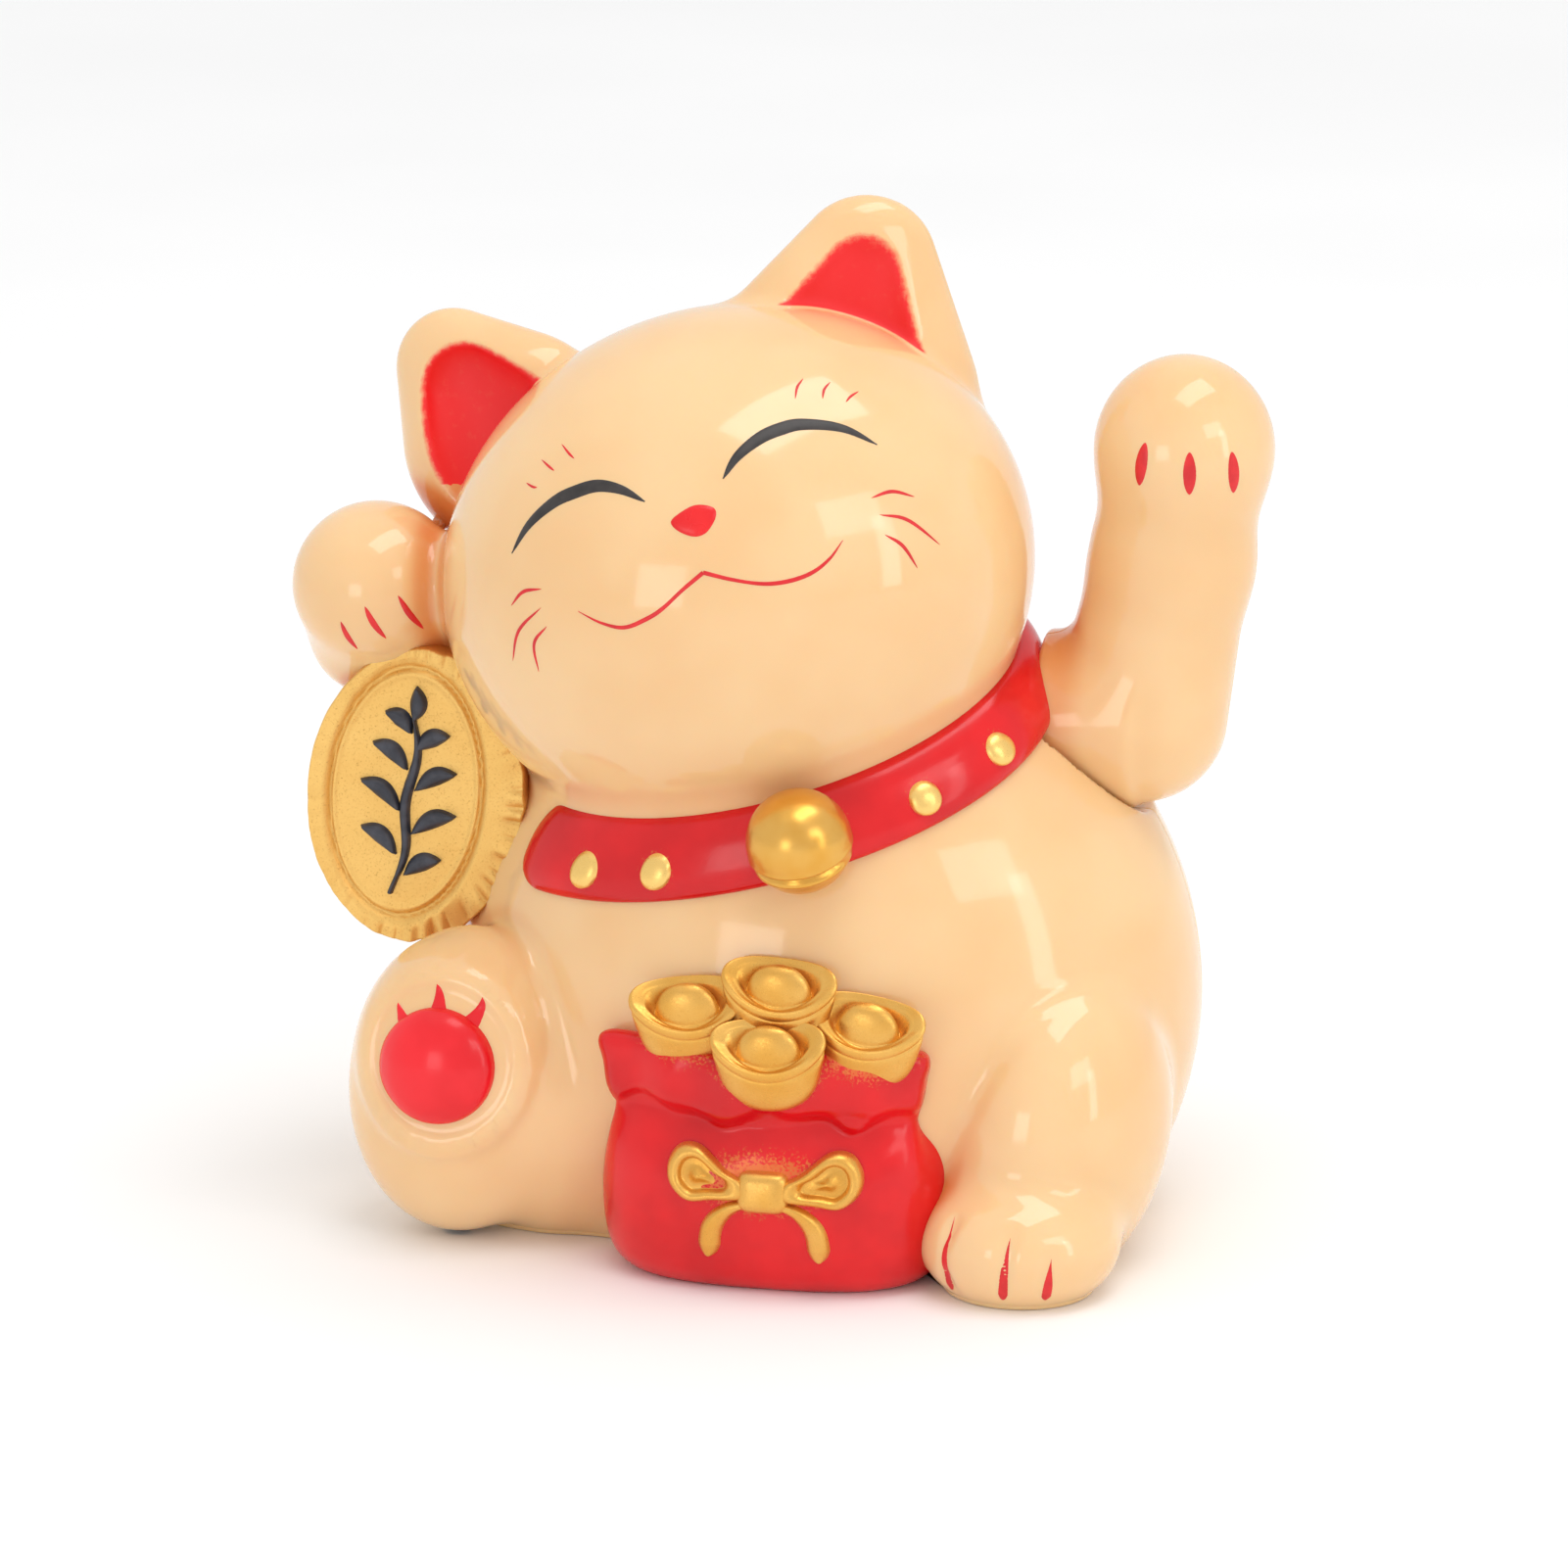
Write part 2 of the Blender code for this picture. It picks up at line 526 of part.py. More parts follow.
def base_plate():
    """Flush plate with the battery bay, the switch slot and two pegs for the board."""
    plate = prism("base_plate", base_outline(), 0, BASE_THICKNESS, material("base_plastic", DARK_CREAM, 0.45))
    y = BASE_CENTRE_Y
    bay = box("bay", (-BAY_HALF_X - BAY_WALL, y - BAY_HALF_Y - BAY_WALL, 0.5),
              (BAY_HALF_X + BAY_WALL, y + BAY_HALF_Y + BAY_WALL, ROOF_TOP))
    pegs = [rod("peg", (x, y, ROOF_TOP - 0.5), (x, y, BOARD_TOP + 1.0), PEG_RADIUS, segments=16) for x in peg_places()]
    boolean(plate, "UNION", bay, *pegs)
    room = box("room", (-BAY_HALF_X, y - BAY_HALF_Y, -1), (BAY_HALF_X, y + BAY_HALF_Y, BAY_TOP))
    cuts = [room]
    for x, hole_y in SCREW_PLACES:
        cuts.append(rod("hole", (x, hole_y, -1), (x, hole_y, 3), SCREW_RADIUS + GAP, segments=16))
        cuts.append(rod("sink", (x, hole_y, -1), (x, hole_y, SCREW_HEAD_HEIGHT + 0.2), SCREW_HEAD_RADIUS + GAP))
    slot = SWITCH_TRAVEL / 2 + KNOB_LENGTH / 2 + GAP
    switch_y = REST_POINT_Y
    cuts.append(box("slot", (SWITCH_X - slot, switch_y - KNOB_WIDTH / 2 - GAP, -1),
                    (SWITCH_X + slot, switch_y + KNOB_WIDTH / 2 + GAP, 3)))
    for x in (-BAY_HALF_X + 1.2, BAY_HALF_X - 0.6):
        cuts.append(box("tab_slot", (x - 0.6, y - 1.6, BAY_TOP - 1), (x + 0.6, y + 1.6, ROOF_TOP + 1)))
    return boolean(plate, "DIFFERENCE", *cuts)


def peg_places():
    return (BOARD_LEFT + PEG_INSET, BOARD_RIGHT - PEG_INSET)


def battery():
    """One AA cell: can and raised terminal as one turned solid."""
    start = -BAY_HALF_X + SPRING_SPACE
    y = BASE_CENTRE_Y
    cell = rod("battery_cell", (start, y, CELL_Z), (start + CELL_LENGTH, y, CELL_Z), CELL_RADIUS,
               material("cell_label", (0.05, 0.12, 0.35), 0.35), segments=32)
    end = start + CELL_LENGTH
    button = rod("button", (end - 1, y, CELL_Z), (end + CELL_TERMINAL_HEIGHT, y, CELL_Z), CELL_TERMINAL_RADIUS,
                 segments=20)
    return boolean(cell, "UNION", button)


def battery_contacts():
    """A coil spring at one end of the bay and a flat tongue at the other, with solder tabs."""
    metal = material("contact_metal", STEEL, 0.3, 1.0)
    y = BASE_CENTRE_Y
    wire = 0.35
    start = -BAY_HALF_X + GAP + wire
    turns = 3
    steps = 12
    length = SPRING_SPACE - 2 * GAP - 2 * wire
    coil = []
    for step in range(turns * steps + 1):
        share = step / (turns * steps)
        angle = 2 * math.pi * turns * share
        reach = 4.2 - 1.6 * share
        coil.append((start + length * share, y + reach * math.sin(angle), CELL_Z + reach * math.cos(angle)))
    tab = (start + 0.55, y, ROOF_TOP + 0.9)
    tube("contact_spring", [tab, (start + 0.55, y, CELL_Z + 5.6)] + coil, wire, metal)
    plate_x = BAY_HALF_X - GAP - 0.5
    plate = box("contact_plate", (plate_x, y - 4.5, CELL_Z - 4.5), (plate_x + 0.5, y + 4.5, CELL_Z + 5.5), metal)
    tongue = box("tongue", (plate_x, y - 1.2, CELL_Z + 5), (plate_x + 0.5, y + 1.2, ROOF_TOP + 0.9))
    boolean(plate, "UNION", tongue)


def battery_door():
    """Clip-in lid: two lips at its hinge end, a thumb catch at the other."""
    y = BASE_CENTRE_Y
    left, right = -BAY_HALF_X + GAP, BAY_HALF_X - GAP
    low, high = DOOR_RECESS, DOOR_RECESS + DOOR_THICKNESS
    hinge = (left + DOOR_THICKNESS / 2, y, (low + high) / 2)
    door = box("battery_door", (hinge[0], y - BAY_HALF_Y + GAP, low), (right, y + BAY_HALF_Y - GAP, high),
               material("door_plastic", DARK_CREAM, 0.45), origin=hinge)
    barrel = rod("barrel", (hinge[0], y - BAY_HALF_Y + GAP, hinge[2]), (hinge[0], y + BAY_HALF_Y - GAP, hinge[2]),
                 DOOR_THICKNESS / 2, segments=16)
    groove = box("grip", (right - 5, y - 3, low - 1), (right - 4, y + 3, low + 0.5))
    second = box("grip", (right - 3, y - 3, low - 1), (right - 2, y + 3, low + 0.5))
    boolean(door, "UNION", barrel)
    boolean(door, "DIFFERENCE", groove, second)


def case_screws():
    steel = material("screw_steel", STEEL, 0.3, 1.0)
    for number, (x, y) in enumerate(SCREW_PLACES, 1):
        head_top = SCREW_HEAD_HEIGHT
        screw = rod(f"case_screw_{number}", (x, y, 0.1), (x, y, head_top), SCREW_HEAD_RADIUS, steel, segments=20)
        shank = rod("shank", (x, y, head_top - 0.3), (x, y, head_top + SCREW_LENGTH), SCREW_RADIUS, segments=12)
        boolean(screw, "UNION", shank)
        slot = box("slot", (x - 1.4, y - 0.25, -1), (x + 1.4, y + 0.25, 0.5))
        cross = box("slot", (x - 0.25, y - 1.4, -1), (x + 0.25, y + 1.4, 0.5))
        boolean(screw, "DIFFERENCE", slot, cross)


def switch():
    """Slide switch above the plate; its knob reaches down into the slot."""
    y = REST_POINT_Y
    low = BASE_THICKNESS + GAP
    half_x, half_y = SWITCH_LENGTH / 2, SWITCH_WIDTH / 2
    slot = SWITCH_TRAVEL / 2 + KNOB_LENGTH / 2 + GAP
    housing = box("switch_housing", (SWITCH_X - half_x, y - half_y, low),
                  (SWITCH_X + half_x, y + half_y, low + SWITCH_HEIGHT), material("switch_black", BLACK, 0.5))
    boolean(housing, "DIFFERENCE", box("track", (SWITCH_X - slot, y - KNOB_WIDTH / 2 - GAP, low - 1),
                                       (SWITCH_X + slot, y + KNOB_WIDTH / 2 + GAP, low + 2.4)))
    box("switch_slider", (SWITCH_X - KNOB_LENGTH / 2 - SWITCH_TRAVEL / 2, y - KNOB_WIDTH / 2, 0.5),
        (SWITCH_X + KNOB_LENGTH / 2 - SWITCH_TRAVEL / 2, y + KNOB_WIDTH / 2, low + 2.4 - GAP),
        material("slider_white", (0.85, 0.85, 0.82), 0.4), origin=(SWITCH_X - SWITCH_TRAVEL / 2, y, low))


def drive():
    """Board, bobbin, winding and the two parts that pulse the coil."""
    y = BASE_CENTRE_Y
    left, right = BOARD_LEFT, BOARD_RIGHT
    board = box("drive_board", (left, y - BOARD_WIDTH / 2, BOARD_Z), (right, y + BOARD_WIDTH / 2, BOARD_TOP),
                material("board_brown", (0.30, 0.16, 0.05), 0.5))
    boolean(board, "DIFFERENCE", *[rod("peg_hole", (x, y, BOARD_Z - 1), (x, y, BOARD_TOP + 1), PEG_RADIUS + GAP,
                                       segments=16) for x in peg_places()])
    x = LEVER_X
    bobbin = rod("coil_bobbin", (x, y, BOBBIN_Z), (x, y, BOBBIN_TOP), BOBBIN_RADIUS,
                 material("bobbin_white", (0.8, 0.8, 0.76), 0.45), segments=32)
    boolean(bobbin, "DIFFERENCE", ring("waist", (x, y, BOBBIN_Z + BOBBIN_FLANGE), (x, y, BOBBIN_TOP - BOBBIN_FLANGE),
                                       BOBBIN_RADIUS + 3, BOBBIN_CORE_RADIUS, segments=32))
    ring("coil_winding", (x, y, BOBBIN_Z + BOBBIN_FLANGE + GAP), (x, y, BOBBIN_TOP - BOBBIN_FLANGE - GAP),
         BOBBIN_RADIUS - 0.4, BOBBIN_CORE_RADIUS + GAP, material("enamelled_copper", (0.72, 0.27, 0.12), 0.3, 1.0),
         segments=32)
    part_x = LEVER_X - BOBBIN_RADIUS - 2.6
    box("transistor", (part_x - 1.0, y - 6.6, BOBBIN_Z), (part_x + 1.4, y - 2.4, BOBBIN_Z + 3.6),
        material("component_black", BLACK, 0.5))
    rod("capacitor", (part_x, y + 4.6, BOBBIN_Z), (part_x, y + 4.6, BOBBIN_Z + 4.5), 1.9,
        material("capacitor_can", (0.08, 0.1, 0.2), 0.4), segments=20)


def leads():
    """Insulated leads from the solder tabs to the board's ends."""
    y = BASE_CENTRE_Y
    low = ROOF_TOP + LEAD_RADIUS + GAP
    left, right = BOARD_LEFT, BOARD_RIGHT
    tab_minus = -BAY_HALF_X + GAP + 0.9
    tab_plus = BAY_HALF_X - GAP - 0.25
    tube("lead_negative", [(tab_minus + 1.5, y, low + 0.4), (tab_minus + 8, y - 1.0, low), (left - 6, y - 2.0, low),
                           (left - 0.5 - LEAD_RADIUS, y - 2.0, low)],
         LEAD_RADIUS, material("lead_black", BLACK, 0.5))
    tube("lead_positive", [(tab_plus, y - 2.4, low + 0.1), (tab_plus, y - 5.2, low + 0.1),
                           (right + 0.2 + LEAD_RADIUS, y - 7.0, low)],
         LEAD_RADIUS, material("lead_red", (0.6, 0.02, 0.02), 0.5))


# ---------------------------------------------------------------- the swinging arm
def arm_halves():
    """Outer skin of the arm, hollowed, with a solid root around the shaft."""
    skin = clay("arm_skin", swung_arm_lumps(), grow=SOFTENING / 2, grain=1.1, smoothing=4, triangles=1400)
    axis = (AXIS_Y, AXIS_Z)
    root = rod("root", (ARM_ROOT_INNER_X, *axis), (34 * STRETCH.x, *axis), ARM_ROOT_RADIUS, segments=40)
    boolean(skin, "UNION", root)
    inside = box("outboard", (ARM_ROOT_INNER_X, -60, 0), (90, 60, 150))
    boolean(skin, "INTERSECT", inside)
    hollow = clay("arm_hollow", swung_arm_lumps()[:3], grow=-ARM_WALL, grain=1.3, smoothing=4, triangles=500)
    boolean(hollow, "INTERSECT", box("clear_of_hub", (SHAFT_OUTER_X + 1.5, -60, 0), (90, 60, 150)))
    bore = rod("bore", (0, *axis), (SHAFT_OUTER_X + GAP, *axis), SHAFT_RADIUS + GAP, segments=16)
    plastic = material("arm_plastic", CREAM, 0.2)
    halves = {"arm_front": (-100, ARM_SEAM_Y - GAP / 2), "arm_rear": (ARM_SEAM_Y + GAP / 2, 100)}
    for name, (low, high) in halves.items():
        half = box(name, (0, low, 0), (100, high, 200), plastic, origin=(30, *axis))
        boolean(half, "INTERSECT", skin, discard=False)
        boolean(half, "DIFFERENCE", hollow, bore, discard=False)
        half.data.materials.clear()
        half.data.materials.append(plastic)
    for tool in (skin, hollow, bore):
        bpy.data.objects.remove(tool)


def shaft_and_bushes():
    axis = (AXIS_Y, AXIS_Z)
    rod("arm_shaft", (SHAFT_INNER_X, *axis), (SHAFT_OUTER_X, *axis), SHAFT_RADIUS,
        material("shaft_steel", STEEL, 0.2, 1.0), segments=16, origin=(SHAFT_INNER_X, *axis))
    brass = material("bush_brass", BRASS, 0.3, 1.0)
    for name, x in zip(("bush_inner", "bush_outer"), BUSH_X):
        ring(name, (x - BUSH_LENGTH / 2, *axis), (x + BUSH_LENGTH / 2, *axis), BUSH_RADIUS, SHAFT_RADIUS + GAP, brass,
             segments=20)
    x = BUSH_X[0] - BUSH_LENGTH / 2 - GAP - RING_THICKNESS
    ring("retaining_ring", (x, *axis), (x + RING_THICKNESS, *axis), RING_RADIUS, SHAFT_RADIUS + GAP,
         material("ring_steel", STEEL, 0.3, 1.0), segments=20, origin=(x, *axis))


def pendulum():
    """Lever on the shaft with a magnet over the coil, and the weight that balances the arm."""
    axis = (AXIS_Y, AXIS_Z)
    plastic = material("lever_plastic", (0.75, 0.75, 0.72), 0.45)
    half_x = LEVER_THICKNESS / 2
    lever = box("pendulum_lever", (LEVER_X - half_x, AXIS_Y - LEVER_WIDTH / 2, LEVER_FOOT),
                (LEVER_X + half_x, AXIS_Y + LEVER_WIDTH / 2, AXIS_Z), plastic, origin=(LEVER_X, *axis))
    hub = rod("hub", (LEVER_X - half_x - 1, *axis), (LEVER_X + half_x + 1, *axis), LEVER_HUB_RADIUS)
    weight_centre = (AXIS_Y + WEIGHT_OFFSET_Y, LEVER_FOOT + WEIGHT_LIFT)
    carrier = rod("carrier", (LEVER_X - half_x, *weight_centre), (LEVER_X + half_x, *weight_centre), WEIGHT_RADIUS + 1.6)
    saddle = rod("saddle", (LEVER_X, AXIS_Y, LEVER_FOOT), (LEVER_X, AXIS_Y, LEVER_FOOT + 1.5), MAGNET_RADIUS)
    boolean(lever, "UNION", hub, carrier, saddle)
    boolean(lever, "DIFFERENCE",
            rod("bore", (0, *axis), (40, *axis), SHAFT_RADIUS + GAP, segments=16),
            rod("weight_bore", (0, *weight_centre), (40, *weight_centre), WEIGHT_RADIUS + GAP))
    rod("pendulum_magnet", (LEVER_X, AXIS_Y, MAGNET_Z), (LEVER_X, AXIS_Y, MAGNET_Z + MAGNET_THICKNESS), MAGNET_RADIUS,
        material("magnet_nickel", (0.55, 0.55, 0.57), 0.25, 1.0), origin=(LEVER_X, *axis))
    rod("counterweight", (LEVER_X - WEIGHT_LENGTH / 2, *weight_centre), (LEVER_X + WEIGHT_LENGTH / 2, *weight_centre),
        WEIGHT_RADIUS, material("weight_steel", STEEL, 0.4, 1.0), origin=(LEVER_X, *axis))


# ---------------------------------------------------------------- assembly
def smooth_round_edges():
    for item in bpy.data.objects:
        if item.type == "MESH" and not item.hide_render:
            item.data.shade_smooth()
            item.data.set_sharp_from_angle(angle=math.radians(35))


def move_to_frame():
    """The sculpt's own centre lies behind the frame's origin."""
    for item in bpy.data.objects:
        item.location.y -= mm(REST_POINT_Y)


def main():
    for item in list(bpy.data.objects):
        bpy.data.objects.remove(item)
    shells(outer_skin(), cavity())
    base_plate()
    battery()
    battery_contacts()
    battery_door()
    case_screws()
    switch()
    drive()
    leads()
    arm_halves()
    shaft_and_bushes()
    pendulum()
    smooth_round_edges()
    move_to_frame()


main()
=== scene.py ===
import json
import math

import bmesh
import bpy
import numpy as np
from mathutils import Euler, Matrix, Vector


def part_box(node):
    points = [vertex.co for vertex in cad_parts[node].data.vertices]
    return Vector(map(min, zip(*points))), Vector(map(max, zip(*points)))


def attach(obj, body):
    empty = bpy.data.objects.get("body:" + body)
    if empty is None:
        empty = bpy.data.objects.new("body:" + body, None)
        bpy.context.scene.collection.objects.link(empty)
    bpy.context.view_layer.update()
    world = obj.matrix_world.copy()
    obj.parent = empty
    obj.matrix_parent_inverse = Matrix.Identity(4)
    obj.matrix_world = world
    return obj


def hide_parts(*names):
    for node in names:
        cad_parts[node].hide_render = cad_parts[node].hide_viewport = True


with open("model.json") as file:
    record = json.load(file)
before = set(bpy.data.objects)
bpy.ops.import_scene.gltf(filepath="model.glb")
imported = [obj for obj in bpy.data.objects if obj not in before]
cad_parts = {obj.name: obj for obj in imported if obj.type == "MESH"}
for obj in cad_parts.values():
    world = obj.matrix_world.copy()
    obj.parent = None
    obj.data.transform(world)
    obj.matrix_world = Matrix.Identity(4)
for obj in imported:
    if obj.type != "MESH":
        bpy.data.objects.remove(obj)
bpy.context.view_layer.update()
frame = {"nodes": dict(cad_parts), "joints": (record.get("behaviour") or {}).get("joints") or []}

# The cat is sculpted in millimetres. X runs from the coin to the swinging arm, -Y is the way
# the body faces, and Y = PARTING_Y is the plane where the shells and the arm's axis meet.
MM = 0.001
PARTING_Y = 4.0
SWING = next(joint for joint in frame["joints"] if joint["name"] == "arm_swing")
AXIS = Vector(SWING["pos_m"]) / MM
SHIFT = Vector((0.0, AXIS.y - PARTING_Y, 0.0))
AXIS_Z = AXIS.z
FINE = 0.5


def in_frame(points):
    """Sculpting millimetres to the frame's metres."""
    return (np.asarray(points, float) + np.array(SHIFT)) * MM


# ---------------------------------------------------------------- soft shapes as distance fields
def turned(turn):
    return np.array(Euler([math.radians(angle) for angle in turn]).to_matrix())


def ball(centre, radii, turn=(0, 0, 0)):
    """A stretched ball: negative inside, positive outside."""
    centre, radii, axes = np.array(centre, float), np.array(radii, float), turned(turn)

    def field(p):
        q = (p - centre) @ axes
        near = np.linalg.norm(q / radii, axis=-1)
        steep = np.linalg.norm(q / radii ** 2, axis=-1) + 1e-9
        return near * (near - 1) / steep
    return field


def limb(start, end, start_radius, end_radius, flatten=1.0, turn=(0, 0, 0)):
    """A round cone between two balls, which can be flattened front to back."""
    axes = turned(turn)
    scale = np.array((1.0, flatten, 1.0))
    origin = np.array(start, float)
    along = ((np.array(end, float) - origin) @ axes) * scale
    length2 = along @ along
    taper = start_radius - end_radius
    side2 = length2 - taper * taper

    def field(p):
        q = ((p - origin) @ axes) * scale
        y = q @ along
        z = y - length2
        x2 = ((q * length2 - along * y[..., None]) ** 2).sum(-1)
        y2, z2 = y * y * length2, z * z * length2
        k = np.sign(taper) * taper * taper * x2
        tip = np.sqrt(x2 + z2) / length2 - end_radius
        base = np.sqrt(x2 + y2) / length2 - start_radius
        flank = (np.sqrt(x2 * side2 / length2) + y * taper) / length2 - start_radius
        return np.where(np.sign(z) * side2 * z2 > k, tip, np.where(np.sign(y) * side2 * y2 < k, base, flank))
    return field


def fuse(a, b, blend):
    """The union of two fields' values, with a fillet."""
    mix = np.clip(0.5 + 0.5 * (b - a) / blend, 0, 1)
    return b + (a - b) * mix - blend * mix * (1 - mix)


def carve(a, b, blend):
    return -fuse(-a, b, blend)


def gradient(field, p):
    step = 0.01
    slopes = [(field(p + axis * step) - field(p - axis * step)) / (2 * step) for axis in np.eye(3)]
    return np.stack(slopes, -1)


def settle(field, p, rounds=6):
    """Moves points onto the surface where the field is zero."""
    for _ in range(rounds):
        value = field(p)
        slope = gradient(field, p)
        steep2 = np.maximum((slope ** 2).sum(-1), 0.05)
        p = p - np.clip(value / steep2, -1.5, 1.5)[:, None] * slope
    return p


def reach(field, start, direction, steps=70):
    """Where rays from some points first meet a surface."""
    start, direction = np.asarray(start, float), np.asarray(direction, float)
    travel = np.zeros(len(start))
    for _ in range(steps):
        travel += 0.75 * field(start + travel[:, None] * direction)
    return start + travel[:, None] * direction


# ---------------------------------------------------------------- the cat's body
HEAD_CENTRE = np.array((-8.1, -6.0, 73.0))
HEAD_TURN = (0, -16, 8)
HEAD_AXES = turned(HEAD_TURN)
LUMPS = {
    "torso": ((0.5, 2, 25), (41.4, 32.1, 41.7)),
    "head": (HEAD_CENTRE, (32.4, 27.2, 28.9), HEAD_TURN),
    "haunch": ((28.0, -13, 14.5), (13, 16.2, 19), (0, 10, 0)),
    "front_paw": ((26.8, -25, 5.6), (11, 10, 7.6)),
    "thigh": ((-26.5, -6, 15), (18.4, 21, 18.5)),
    "sole": ((-35.6, -20, 17.8), (12.9, 10.2, 17.4), (0, 8, 0)),
    "coin_paw": ((-48.2, -7.5, 69.8), (9.25, 9.3, 9.1)),
}
BLENDS = {"head": 5.0, "haunch": 1.6, "front_paw": 2.5, "thigh": 3.0, "sole": 2.5, "coin_paw": 3.0}
FIELDS = {name: ball(*values) for name, values in LUMPS.items()}
COIN_ARM = ((-30, 4, 50), (-49.5, -3, 63.7), 9.2, 7.6)
# Each ear is a flattened cone between two balls; so is the hollow scooped out of its front.
EARS = (((0.9, 1.0, 90.0), (4.1, 3.0, 105.4), 16.0, 7.7, 2.0, (0, 8, 14)),
        ((-34.6, 1.0, 84.2), (-41.6, 3.0, 91.6), 12.9, 7.0, 2.0, (0, -12, -6)))
HOLLOWS = (((2.6, -9.4, 93.0), (5.0, -2.6, 106.6), 12.6, 4.6, 1.7, (0, 8, 14)),
           ((-34.4, -6.8, 84.8), (-39.8, -1.8, 91.2), 9.8, 4.5, 1.7, (0, -12, -6)))
TAIL = (((6, 33.5, 8), (15, 33, 12), 4.4, 4.4), ((15, 33, 12), (17, 32.5, 21), 4.4, 4.0))
PORT_RADIUS = 10.2
PORT_X = 23.0
COIN_CENTRE = np.array((-43.0, -9.5, 47.3))
BAG_Y = -22.0


EAR_FIELDS = [limb(*ear) for ear in EARS]
EAR_HOLLOWS = [limb(*hollow) for hollow in HOLLOWS]
ARM_STUMP = limb(*COIN_ARM)
TAIL_FIELDS = [limb(*part) for part in TAIL]
SOLE_RIDGE = ((-36.2, 22.6), (9.2, 9.5))      # a raised ring on the sole: its middle and radii in X and Z
TOE_GROOVES = [limb(start, end, 0.9, 0.9) for start, end in (((20.9, -32.0, 9.6), (20.3, -32.0, 0.5)),
                                                              ((27.5, -34.2, 9.2), (26.5, -34.9, 0.8)),
                                                              ((32.0, -34.2, 6.6), (31.2, -34.0, 0.8)))]


def neck_field(p):
    return fuse(FIELDS["torso"](p), FIELDS["head"](p), BLENDS["head"])


def skin_field(p):
    value = neck_field(p)
    for name in ("haunch", "front_paw", "thigh", "sole"):
        value = fuse(value, FIELDS[name](p), BLENDS[name])
    value = fuse(value, ARM_STUMP(p), 4.0)
    value = fuse(value, FIELDS["coin_paw"](p), BLENDS["coin_paw"])
    for tail in TAIL_FIELDS:
        value = fuse(value, tail(p), 1.5)
    for ear, hollow in zip(EAR_FIELDS, EAR_HOLLOWS):
        shaped = carve(ear(p), hollow(p), 1.0)
        value = fuse(value, shaped, 1.6)
    (x, z), (reach_x, reach_z) = SOLE_RIDGE
    ring = (np.hypot((p[..., 0] - x) / reach_x, (p[..., 2] - z) / reach_z) - 1) * reach_x
    ridge = np.hypot(ring, FIELDS["sole"](p) + 0.25) - 1.0
    value = fuse(value, np.where(p[..., 1] < -20, ridge, 9.0), 1.8)
    for groove in TOE_GROOVES:
        value = value + 0.5 * np.exp(-(np.maximum(groove(p) + 0.9, 0) / 0.9) ** 2)
    spread = np.hypot(p[..., 1] - PARTING_Y, p[..., 2] - AXIS_Z)
    port = np.maximum(spread - PORT_RADIUS, PORT_X - p[..., 0])
    return carve(value, port, 0.5)


# ---------------------------------------------------------------- meshes
def new_object(name, points, faces, body="case"):
    """A mesh object from sculpting millimetres, riding on a body."""
    mesh = bpy.data.meshes.new(name)
    mesh.from_pydata(in_frame(points).tolist(), [], [tuple(face) for face in faces])
    mesh.update()
    made = bpy.data.objects.new(name, mesh)
    bpy.context.scene.collection.objects.link(made)
    mesh.shade_smooth()
    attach(made, body)
    return made


def baked(target):
    bpy.context.view_layer.update()
    mesh = bpy.data.meshes.new_from_object(target.evaluated_get(bpy.context.evaluated_depsgraph_get()))
    target.modifiers.clear()
    target.data = mesh
    return target


def hull_of(balls):
    """Points of the tight skin over a few stretched balls."""
    unit = bmesh.new()
    bmesh.ops.create_icosphere(unit, subdivisions=4, radius=1.0)
    directions = np.array([vert.co for vert in unit.verts])
    unit.free()
    bm = bmesh.new()
    for centre, radii, *turn in balls:
        axes = turned(turn[0] if turn else (0, 0, 0))
        for point in np.array(centre) + (directions * np.array(radii)) @ axes.T:
            bm.verts.new(point)
    made = bmesh.ops.convex_hull(bm, input=bm.verts)
    loose = {item for key in ("geom_interior", "geom_unused") for item in made[key]}
    bmesh.ops.delete(bm, geom=[item for item in loose if isinstance(item, bmesh.types.BMVert)])
    mesh = bpy.data.meshes.new("hull")
    bm.to_mesh(mesh)
    bm.free()
    return mesh


def hulls_object(name, hulls):
    bm = bmesh.new()
    for balls in hulls:
        mesh = hull_of(balls)
        bm.from_mesh(mesh)
        bpy.data.meshes.remove(mesh)
    if bm.calc_volume(signed=True) < 0:
        bmesh.ops.reverse_faces(bm, faces=bm.faces)
    mesh = bpy.data.meshes.new(name)
    bm.to_mesh(mesh)
    bm.free()
    made = bpy.data.objects.new(name, mesh)
    bpy.context.scene.collection.objects.link(made)
    return made


def even(target, grain):
    remesh = target.modifiers.new("Even", "REMESH")
    remesh.mode = "VOXEL"
    remesh.voxel_size = grain


def cut_away(target, hulls):
    """Takes some hulls away from an object."""
    cutter = hulls_object("cutter", hulls)
    cut = target.modifiers.new("Cut", "BOOLEAN")
    cut.operation = "DIFFERENCE"
    cut.object = cutter
    baked(target)
    bpy.data.objects.remove(cutter)
    return target


